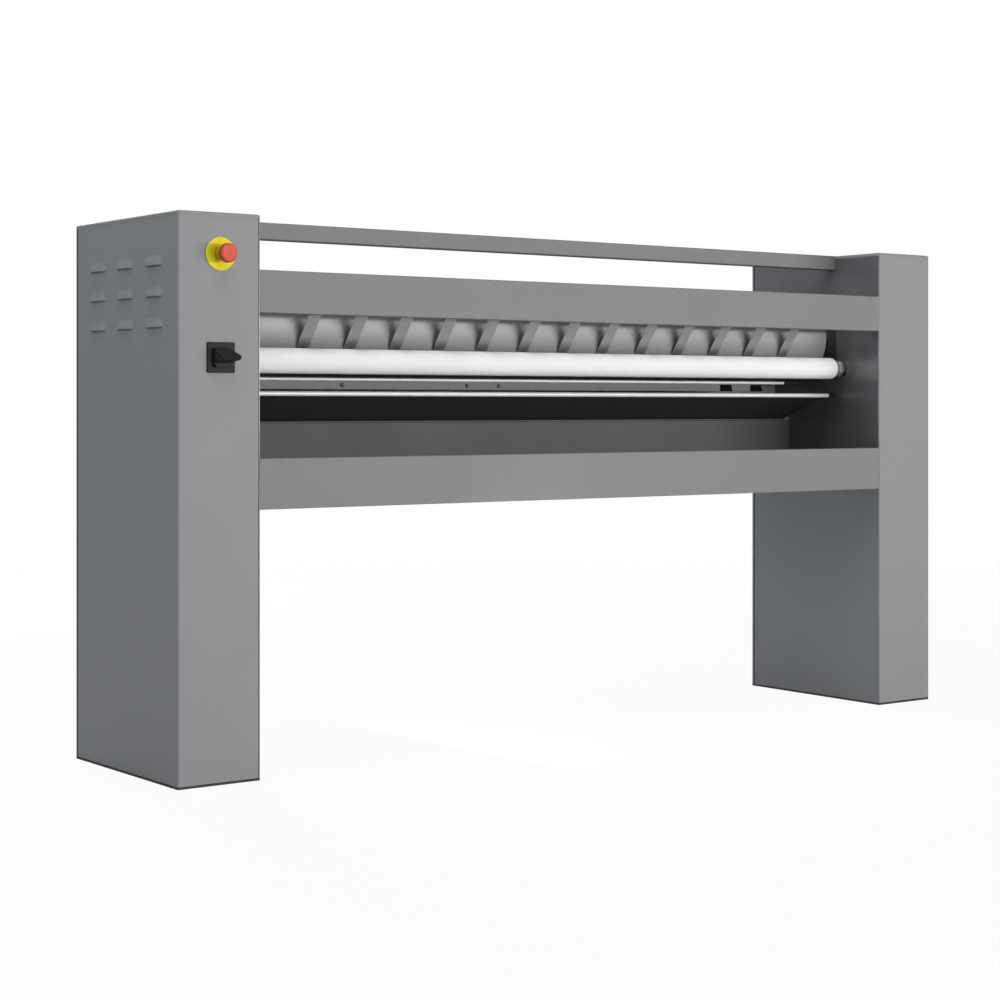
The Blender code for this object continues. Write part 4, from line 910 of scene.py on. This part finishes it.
def pan_head(axis, outward, radius, height, material):
    """A pan head with a cross recess whose seat is at the origin."""
    top = outward * height
    angles = [math.radians(degrees) for degrees in (0, 25, 50, 75)]
    dome = [(top * math.sin(angle), radius * (0.55 + 0.45 * math.cos(angle))) for angle in angles]
    head = turned("head", [(-top, 0), (-top, radius), *dome, (top, 0)], axis, (0, 0), material, 24)
    for length, width in ((1.2, 0.28), (0.28, 1.2)):
        bar = bmesh.new()
        add_block(bar, spot(axis, top, 0, 0), spot(axis, height, length * radius, width * radius))
        cut(head, add_piece("bar", bar, material))
    return head


def rear_panel(word):
    """A flat rear sheet with broken edges and six screws."""
    node = word + "_rear_panel"
    low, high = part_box(node)
    back = front_y + panel_depth
    outline = ((low.x, low.z), (high.x, low.z), (high.x, high.z), (low.x, high.z))
    panel = drawn_out("fine_" + node, outline, "Y", low.y, back, paint, 0.0004)
    start = (low.x + 0.009, back - 0.00075, low.z + 0.060)
    steps = ((high.x - low.x - 0.018, 0, 0), (0, 0, (high.z - low.z - 0.120) / 2))
    head = pan_head("Y", 1, 0.0045, 0.002, dark_zinc)
    screws = in_rows("fine_" + word + "_rear_screws", head, dark_zinc, (2, 3), start, steps)
    stand_for(screws, node, False)
    stand_for(panel, node)
    print("Rear panel:", word, "screw faces:", len(screws.data.polygons))


for word, side in both_ends:
    rear_panel(word)

# %% [markdown]
# ## Sheets and bars between the cabinets
# The upper cover and the lower beam are channels: a front with a narrow return above and below. The tray has
# a floor, a lip and a back. The bar at the top is a square steel tube with rounded corners. The channels and
# the bar are drawn in profile and pulled along X, and the tray and the rear cover are copies of their solids
# with broken edges. Their ends stop just short of the cabinets.

# %% Channels, tray and top bar


def channel(node, top_return, bottom_return):
    """A front sheet with returns along its upper and lower edge."""
    low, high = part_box(node)
    corners = ((low.y + top_return, high.z), (low.y, high.z), (low.y, low.z), (low.y + bottom_return, low.z))
    outline = sheet_outline(rounded_path(corners, 0.0018), sheet, 0)
    # The channels take the darker copy of the paint, as painted shade.
    stand_for(drawn_out("fine_" + node, outline, "X", low.x, high.x, span_paint_and_shade), node)
    print("Channel:", node)


channel("front_upper_cover", 0.030, 0.022)
channel("lower_front_beam", 0.025, 0.025)
# The tray's near black paint is painted shade.
softened("collecting_tray", tray_paint_and_shade, 0.0003, 1)
softened("rear_cover", paint, 0.0003, 1)

bar_low, bar_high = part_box("rear_top_bar")
bar_middle = middle_of("rear_top_bar")
bar_side = bar_high.z - bar_low.z
bar_outline, bar_hollow = [rounded_square((bar_middle.y, bar_middle.z), bar_side / 2 - inset, radius)
                           for inset, radius in ((0, 0.0022), (0.002, 0.001))]
top_bar = drawn_out("fine_rear_top_bar", bar_outline, "X", bar_low.x, bar_high.x, span_paint_and_shade)
cut(top_bar, drawn_out("hollow", bar_hollow, "X", bar_low.x - 0.01, bar_high.x + 0.01, span_paint_and_shade, 0))
stand_for(top_bar, "rear_top_bar")
print("Top bar side:", round(bar_side, 4))

# %% [markdown]
# ## The heated cylinder
# The cylinder is a ground steel tube with slightly rounded ends. It is turned from a profile with many sides,
# so that its long highlight stays even. A flange with a hollow journal closes either end and is bolted on.

# %% Heated cylinder and end flanges
cylinder_centre = (cylinder_axis.y, cylinder_axis.z)
cylinder_low, cylinder_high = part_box("heated_cylinder")
cylinder_radius = (cylinder_high.z - cylinder_low.z) / 2
cylinder_end = cylinder_high.x
bore, end_round = cylinder_radius - 0.0045, 0.0018
tube_half = [(cylinder_end - 0.012, bore), (cylinder_end - 0.0008, bore), (cylinder_end, bore + 0.0008)]
tube_half += arc((cylinder_end - end_round, cylinder_radius - end_round), end_round, 0, 90, 6)
tube_profile = tube_half[::-1] + on_side(-1, tube_half)
cylinder = turned("fine_heated_cylinder", tube_profile, "X", cylinder_centre, ground_steel, 192)
stand_for(cylinder, "heated_cylinder")
print("Cylinder radius:", round(cylinder_radius, 4))


def bolt_ring(title, node, side, face, offset, count, radius, height):
    """A ring of hexagon bolt heads round the cylinder's axis that belongs to a solid."""
    profile = ((-0.0005, 0), (-0.0005, radius), (height * 0.8, radius), (height, radius * 0.86), (height, 0))
    bolt = turned("bolt", on_side(side, profile), "X", (offset, 0), dark_zinc, 6, 20)
    centre = (side * face, *cylinder_centre)
    bolts = repeated("fine_" + title, ring_tree, bolt, dark_zinc, {
        "Count": count, "Centre": centre, "Turn Axis": (1, 0, 0)}, 20)
    stand_for(bolts, node, False)


for word, side in both_ends:
    flange, bearing = word + "_end_flange", word + "_bearing"
    softened(flange, turned_steel, 0.0008)
    bolt_ring(word + "_flange_bolts", flange, side, cylinder_end - 0.010, 0.078, 6, 0.0055, 0.004)
    softened(bearing, iron, 0.002, 3)
    bearing_face = max(abs(corner.x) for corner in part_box(bearing)) - 0.017
    bolt_ring(word + "_bearing_bolts", bearing, side, bearing_face, 0.0485, 4, 0.005, 0.0045)
    softened(word + "_bearing_plate", zinc, 0.0006)
    softened(word + "_element_holder", zinc, 0.0004)
softened("heating_element", turned_steel, 0.0006)

# %% [markdown]
# ## The pressing roller
# A steel tube wears a sleeve of white ironing cloth, drawn on tight. Its ends are turned in, so they look
# soft and round, and the cloth swells and tightens by a few hundredths of a millimetre along its length. A
# cap with a groove closes each end. The cloth has its own UV map in metres, so that the weave follows it.

# %% Cloth sleeve, tube and caps
roller_centre = (roller_axis.y, roller_axis.z)
sleeve_low, sleeve_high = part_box("roller_cover")
sleeve_radius = (sleeve_high.z - sleeve_low.z) / 2
sleeve_end = sleeve_high.x
slack = 0.00012
sleeve_inside = sleeve_radius - 0.0028
hem_curve = arc((-0.0024, sleeve_radius - 0.0026), 0.0024, -20, 90, 8)
sleeve_half = counted_from(sleeve_end, [
    (-0.012, sleeve_inside), (-0.0005, sleeve_inside), *hem_curve, (-0.0080, sleeve_radius - 0.0002),
    (-0.0095, sleeve_radius - 0.0005), (-0.0110, sleeve_radius - 0.0002)])
for step in range(1, 60):
    along = (sleeve_end - 0.011) * (1 - step / 60)
    swell = slack * math.sin(along * 61) * math.sin(along * 23 + 1)
    sleeve_half.append((along, sleeve_radius - slack + swell))
sleeve_profile = sleeve_half + [(0, sleeve_radius - slack)] + on_side(-1, sleeve_half[::-1])
sleeve = turned("fine_roller_cover", sleeve_profile, "X", roller_centre, cloth, 72, 60)


def unroll(piece, centre, radius):
    """Give a turned piece a UV map in metres: along X, and round the axis."""
    layer = piece.data.uv_layers.new(name="unrolled")
    points = piece.data.vertices
    for face in piece.data.polygons:
        turns = [math.atan2(points[i].co.z - centre[1], points[i].co.y - centre[0]) for i in face.vertices]
        if max(turns) - min(turns) > math.pi:
            turns = [turn + math.tau if turn < 0 else turn for turn in turns]
        for loop, index, turn in zip(face.loop_indices, face.vertices, turns):
            layer.data[loop].uv = (points[index].co.x, turn * radius)


unroll(sleeve, roller_centre, sleeve_radius)
stand_for(sleeve, "roller_cover")
print("Sleeve radius:", round(sleeve_radius, 4), "length:", round(2 * sleeve_end, 3))

softened("roller_tube", turned_steel, 0.0004, 1)
softened("roller_axle", turned_steel, 0.0008)
cap_end = half_passage - 0.004
cap_profile = counted_from(sleeve_end + 0.0003, (
    (-0.018, 0.0078), (-0.018, 0.0186), (0, 0.0186), (0, 0.0191), (0.0004, 0.0195), (0.0107, 0.0195),
    (0.0111, 0.0191), (0.0111, 0.0165), (0.0165, 0.0165), (0.0165, 0.0191), (0.0169, 0.0195)))
cap_profile += counted_from(cap_end, (
    (-0.0012, 0.0195), (0, 0.0183), (0, 0.012), (-0.0015, 0.0105), (-0.0015, 0.0078)))
for word, side in both_ends:
    node = word + "_roller_cap"
    stand_for(turned("fine_" + node, on_side(side, cap_profile), "X", roller_centre, turned_steel, 72), node)
print("Cap length:", round(cap_end - sleeve_end, 4))

# %% [markdown]
# ## The guide comb
# Thirteen flat strips of steel lead the linen off the cylinder's side and down to the nip. They hang from a
# bent rail behind the upper cover. One strip is drawn with a rounded tip, and a tree repeats it along X. The
# strips' lower ends are painted darker, as painted shade where they near the roller.

# %% Guide comb
comb_low, comb_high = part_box("guide_comb")
finger_half, finger_pitch, finger_count, comb_offset = 0.01425, 0.1075, 13, -0.004
tip_round = 0.006


def around_cylinder(reach, degrees):
    """A point (depth, height) at a distance from the cylinder's axis."""
    angle = math.radians(degrees)
    return Vector((cylinder_axis.y + reach * math.cos(angle), cylinder_axis.z + reach * math.sin(angle)))


def strip(name, stations, thickness, material):
    """A flat strip along stations of (depth, height, half width), with a thickness."""
    outline = sheet_outline([Vector(station[:2]) for station in stations], thickness, 0)
    shape = bmesh.new()
    rings = []
    for front, back, (_, _, half) in zip(outline, outline[::-1], stations):
        places = ((-half, front), (half, front), (half, back), (-half, back))
        rings.append([shape.verts.new((x, *point)) for x, point in places])
    skin(shape, rings)
    return add_piece(name, shape, material)


bend = around_cylinder(0.162, 165)
tip = around_cylinder(0.1021, 207.8)
root = bend - Vector((0.0016, 0))
finger_stations = [(*root, finger_half)]
for back in (tip_round, 0.0045, 0.003, 0.0018, 0.0009, 0.0003, 0):
    place = tip + (root - tip).normalized() * back
    narrow = tip_round - math.sqrt(max(tip_round ** 2 - (tip_round - back) ** 2, 0))
    finger_stations.append((*place, finger_half - narrow))
# Painted shade: the strips grow darker toward their tips, where the roller shades them.
painted_shade_along(comb_steel_and_shade, "Z", tip.y + 0.030, tip.y + 0.004, 0.45)
finger = strip("finger", finger_stations, sheet, comb_steel_and_shade)
first_finger = (comb_offset - (finger_count - 1) / 2 * finger_pitch, 0, 0)
fingers = in_rows("fine_comb_strips", finger, comb_steel_and_shade, (finger_count, 1), first_finger,
                  ((finger_pitch, 0, 0), (0, 0, 0)))
stand_for(fingers, "guide_comb", False)
rail_path = rounded_path(((bend.x, comb_high.z), bend, bend.lerp(tip, 0.12)), 0.003)
rail_outline = sheet_outline(rail_path, sheet, 0)
comb_rail = drawn_out("fine_comb_rail", rail_outline, "X", comb_low.x, comb_high.x, zinc)
stand_for(comb_rail, "guide_comb")
print("Strips:", finger_count, "length:", round((tip - root).length, 4))

# %% [markdown]
# ## Scraper plate, rail and flap
# The scraper plate and the chute flap are thin bright sheets whose front edge is rolled round, so that linen
# slides over it and fingers are safe. The roll is an arc of nearly three quarters of a turn that runs out
# into the flat sheet. The flap's flat part is painted near black, as painted shade. A zinc plated rail with
# screws and two black clips holds the plate, and the clips are a deeper, duller black as painted shade.
# Beyond the clips the rail is painted dark, as painted shade.

# %% Rolled edges
sheet_half = 0.0006


def rolled_sheet(node, centre, radius, heading, length, flat_finish_and_shade):
    """A sheet with a bright rolled front edge and a flat part with its own material, in a solid's place."""
    direction = Vector((math.cos(heading), math.sin(heading)))
    points = []
    for step in range(28, -1, -1):
        angle = heading + math.pi / 2 + math.radians(290) * step / 28
        points.append(Vector(centre) + Vector((math.cos(angle), math.sin(angle))) * radius)
    points.append(points[-1] + direction * length)
    outline = sheet_outline(points, sheet_half, sheet_half)
    low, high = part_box(node)
    piece = drawn_out("fine_" + node, outline, "X", low.x, high.x, bright_sheet, 0.0002)
    piece.data.materials.append(flat_finish_and_shade)
    # The flat part's large faces take the second material, which for the flap is painted shade.
    for face in piece.data.polygons:
        reach = Vector(face.center[1:]) - Vector(centre)
        if reach.length > 3 * radius and face.area > 1e-4:
            face.material_index = 1
    stand_for(piece, node)


plate_roll = 0.0027
plate_reach = plate_roll + sheet_half
plate_low, plate_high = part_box("scraper_plate")
plate_centre = (plate_low.y + plate_reach, plate_high.z - plate_reach)
rolled_sheet("scraper_plate", plate_centre, plate_roll, 0, plate_high.y - plate_centre[0], strip_steel)
flap_drop, flap_run, flap_roll = 0.0598, 0.1488, 0.0043
flap_slope = -math.atan2(flap_drop, flap_run)
flap_length = flap_run / math.cos(flap_slope)
# Painted shade: the flap's flat part is painted near black, for the shade under the roller.
rolled_sheet("linen_flap", (flap_axis.y, flap_axis.z), flap_roll, flap_slope, flap_length, flap_painted_shade)
print("Flap slope in degrees:", round(math.degrees(flap_slope), 1))

# %% Rail, clips, screws and flap pins
clip_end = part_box("right_plate_clip")[1].x
# Painted shade: beyond the clips the rail is painted dark.
softened("plate_rail", painted_shade_along(rail_zinc_and_shade, "X", clip_end, clip_end + 0.004, 0.1), 0.0003, 1)
for word, side in both_ends:
    # Painted shade: the clips take the darker, duller black.
    softened(word + "_plate_clip", clip_black_and_shade, 0.0008)
for word, side in both_ends:
    softened(word + "_flap_pin", dark_zinc, 0.0003)
rail_screws = ["rail_screw_%d" % number for number in (1, 2, 3)]
screw_marks = [(middle_of(node).x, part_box(node)[0].y + 0.002, middle_of(node).z) for node in rail_screws]
screw_head = pan_head("Y", -1, 0.0045, 0.002, dark_zinc)
screw_heads = repeated("fine_rail_screws", marks_tree, screw_head, dark_zinc, {}, marks=screw_marks)
for node in rail_screws:
    stand_for(screw_heads, node)
print("Rail screws:", len(screw_marks))

# %% [markdown]
# ## The controls
# The emergency stop has a yellow plate, a short neck and a light red head, whose rounded rim is painted a
# deeper red than its face, as painted shade. The main switch is a square plate with a rounded boss and a
# wedge shaped handle. They are small, but the eye goes to them first, so their edges are rounded as a mould
# leaves them.

# %% Emergency stop
stop_axis = joint_place["stop_twist"]
stop_centre = (stop_axis.x, stop_axis.z)
disc_low, disc_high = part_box("emergency_plate")
disc_radius = (disc_high.x - disc_low.x) / 2
angles = (0, 0.4, 0.8, 1.2, math.pi / 2)
disc_edge = [(0.0007 - 0.0007 * math.sin(angle), disc_radius - 0.0007 + 0.0007 * math.cos(angle))
             for angle in angles]
disc_profile = [(disc_high.y, 0.0128), (disc_high.y, disc_radius - 0.0002)]
disc_profile += counted_from(disc_low.y, [*disc_edge, (0, 0.0135), (0.0004, 0.0128)])
stand_for(turned("fine_emergency_plate", disc_profile, "Y", stop_centre, yellow, 96), "emergency_plate")

neck_start, neck_end = disc_low.y + 0.0014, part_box("emergency_body")[0].y
neck_profile = [(neck_start, 0.0066), (neck_start, 0.0127)]
neck_profile += counted_from(neck_end, ((0.0009, 0.0127), (0.0002, 0.0124), (0, 0.0117), (0, 0.0066)))
# The neck's darker yellow is partly the head's shade, painted in.
neck = turned("fine_emergency_neck", neck_profile, "Y", stop_centre, neck_yellow_and_shade, 72)
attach(neck, body_of["emergency_body"])
softened("emergency_body", black, 0.0006)

head_low, head_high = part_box("emergency_head")
face = head_low.y
head_profile = counted_from(face, (
    (0.0012, 0), (0.0010, 0.005), (0.0004, 0.0100), (0, 0.0118), (0.0001, 0.0129), (0.0006, 0.0142),
    (0.0015, 0.0158), (0.0026, 0.0170), (0.0038, 0.0177), (0.0050, 0.018)))
head_profile += counted_from(head_high.y, (
    (-0.0022, 0.018), (-0.0008, 0.0174), (0, 0.0160), (0, 0.0064), (-0.005, 0.0064), (-0.005, 0)))
# Painted shade: the head's rounded rim is painted darker than its face.
painted_shade_along(red, "Y", face + 0.0003, face + 0.0035, 0.5)
stand_for(turned("fine_emergency_head", head_profile, "Y", stop_centre, red, 96, 60), "emergency_head")
softened("emergency_plunger", black, 0.0003)
print("Head reach in front of the sheet:", round(front_y - face, 4))

# %% Main switch
softened("switch_plate", black, 0.0012, 3)
knob_low, knob_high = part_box("switch_knob")
knob_place = joint_place["switch_turn"]
knob_centre = (knob_place.x, knob_place.z)
boss_front = knob_place.y - 0.007
boss_plan = rounded_square(knob_centre, (knob_high.z - knob_low.z) / 2, 0.009)
boss = drawn_out("fine_switch_boss", boss_plan, "Y", boss_front, knob_place.y, black, 0.0008)
stand_for(boss, "switch_knob", False)
handle_shape = bmesh.new()
handle_points = [(-0.0180, 0.0003, 0.0175), (0.0120, 0.0003, 0.0165), (0.0150, 0.0003, -0.0100),
                 (-0.0180, 0.0003, -0.0105), (-0.0081, -0.0243, -0.0045), (0.0224, -0.0239, -0.0005)]
for turn in range(-3, 4):
    angle = math.radians(30 * turn)
    reach = 0.0222 + 0.0048 * math.cos(angle)
    rise = 0.0003 + 0.0052 * math.sin(angle)
    handle_points += [(reach, -0.0199, rise), (reach, -0.0153, rise)]
handle_start = Vector((knob_place.x, boss_front, knob_place.z))
corners = [handle_shape.verts.new(handle_start + Vector(point)) for point in handle_points]
hull = bmesh.ops.convex_hull(handle_shape, input=corners)
inside = [item for item in hull["geom_interior"] if isinstance(item, bmesh.types.BMVert)]
bmesh.ops.delete(handle_shape, geom=inside, context="VERTS")
bmesh.ops.dissolve_limit(handle_shape, angle_limit=math.radians(1), verts=handle_shape.verts,
                         edges=handle_shape.edges)
handle = add_piece("fine_switch_handle", handle_shape, black)
stand_for(rounded_edges(handle, 0.0010, 3, 25), "switch_knob", False)
shaft = turned("fine_switch_shaft", rod(knob_place.y, knob_high.y, 0.0028), "Y", knob_centre, black, 24)
stand_for(shaft, "switch_knob")
softened("switch_body", black, 0.001)

# %% [markdown]
# ## Inside the cabinets
# Behind the sheets sit the parts that press and turn: bell cranks with their springs, pulleys and belt, the
# gearmotor with its cooling fins, the cable gland and the control box. The springs are real coils between
# the frame and the levers.

# %% Pressure arms and springs
for word, side in both_ends:
    softened(word + "_pressure_arm", zinc, 0.0008)
    softened(word + "_arm_pivot_bolt", dark_zinc, 0.0006)


def coil(tree, given):
    """A round wire is drawn along a spiral with even turns and moved to its start."""
    spiral = result(tree, "GeometryNodeCurveSpiral", {
        "Resolution": given["Steps"], "Rotations": given["Turns"], "Start Radius": given["Radius"],
        "End Radius": given["Radius"], "Height": given["Length"]})
    wire = result(tree, "GeometryNodeCurvePrimitiveCircle", {"Resolution": 8, "Radius": given["Wire Radius"]})
    mesh = result(tree, "GeometryNodeCurveToMesh", {
        "Curve": spiral, "Profile Curve": wire, "Fill Caps": True})
    return result(tree, "GeometryNodeTransform", {"Geometry": mesh, "Translation": given["Start"]})


coil_tree = new_tree("coil_spring", {
    "Turns": "Float", "Steps": "Int", "Radius": "Float", "Length": "Float", "Wire Radius": "Float",
    "Start": "Vector"}, coil)
wire_radius = 0.0012
for word, side in both_ends:
    node = word + "_pressure_spring"
    low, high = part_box(node)
    middle = middle_of(node)
    spring = grow("fine_" + word + "_spring", coil_tree, {
        "Turns": 12.0, "Steps": 24, "Radius": 0.007, "Length": high.z - low.z - 2 * wire_radius,
        "Wire Radius": wire_radius, "Start": (middle.x, middle.y, low.z + wire_radius),
        "Material": dark_zinc}, 60)
    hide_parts(node)
    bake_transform(spring)
    print("Spring:", word, "faces:", len(spring.data.polygons))

# %% Belt drive and gearmotor
softened("cylinder_pulley", iron, 0.0006, 2)
softened("motor_pulley", iron, 0.0006, 2)
softened("drive_belt", rubber, 0.0004, 1)
softened("gearmotor", motor_paint, 0.0025, 3)
fin_shape = bmesh.new()
add_block(fin_shape, (0.0452, 0, 0), (0.005, 0.0016, 0.105))
fin = add_piece("fin", fin_shape, motor_paint)
fin_count = 28
can_centre = (-half_passage - 0.051, joint_place["motor_spin"].y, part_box("gearmotor")[0].z + 0.085)
fins = repeated("fine_motor_fins", ring_tree, fin, motor_paint, {
    "Count": fin_count, "Centre": can_centre, "Turn Axis": (0, 0, 1)})
stand_for(fins, "gearmotor", False)
print("Fins:", fin_count)

# %% Gland and control box
gland_low, gland_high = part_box("cable_gland")
gland_middle = middle_of("cable_gland")
gland_face = -half_passage + 0.0003
nut = ((0, 0.005), (0, 0.0115), (0.0008, 0.012), (0.0072, 0.012), (0.008, 0.0115), (0.008, 0.005))
dome = ((0.0078, 0.005), (0.0078, 0.0095), (0.011, 0.0095), (0.0138, 0.0082))
dome_end = [(gland_high.x, 0.0066), (gland_high.x, 0.005)]
thread_end = [(gland_low.x, 0.008), (gland_low.x, 0.005)]
locknut = ((-0.0018, 0.008), (-0.0018, 0.012), (-0.0058, 0.012), (-0.0058, 0.008))
for title, profile, sides in (
        ("nut", counted_from(gland_face, nut), 6),
        ("dome", counted_from(gland_face, dome) + dome_end, 48),
        ("thread", counted_from(gland_face, ((0.001, 0.005), (0.001, 0.008))) + thread_end, 32),
        ("locknut", counted_from(-half_passage, locknut), 6)):
    centre = (gland_middle.y, gland_middle.z)
    stand_for(turned("fine_gland_" + title, profile, "X", centre, black, sides, 20), "cable_gland")

softened("control_box", dark_paint, 0.0015)
box_low, box_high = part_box("control_box")
screw_inset = 0.012
lid_start = (box_high.x - 0.0012, box_low.y + screw_inset, box_low.z + screw_inset)
lid_reach = box_high - box_low - Vector((0, 2 * screw_inset, 2 * screw_inset))
lid_steps = ((0, lid_reach.y, 0), (0, 0, lid_reach.z))
lid_head = pan_head("X", 1, 0.004, 0.0016, dark_zinc)
box_screws = in_rows("fine_control_box_screws", lid_head, dark_zinc, (2, 2), lid_start, lid_steps)
stand_for(box_screws, "control_box", False)
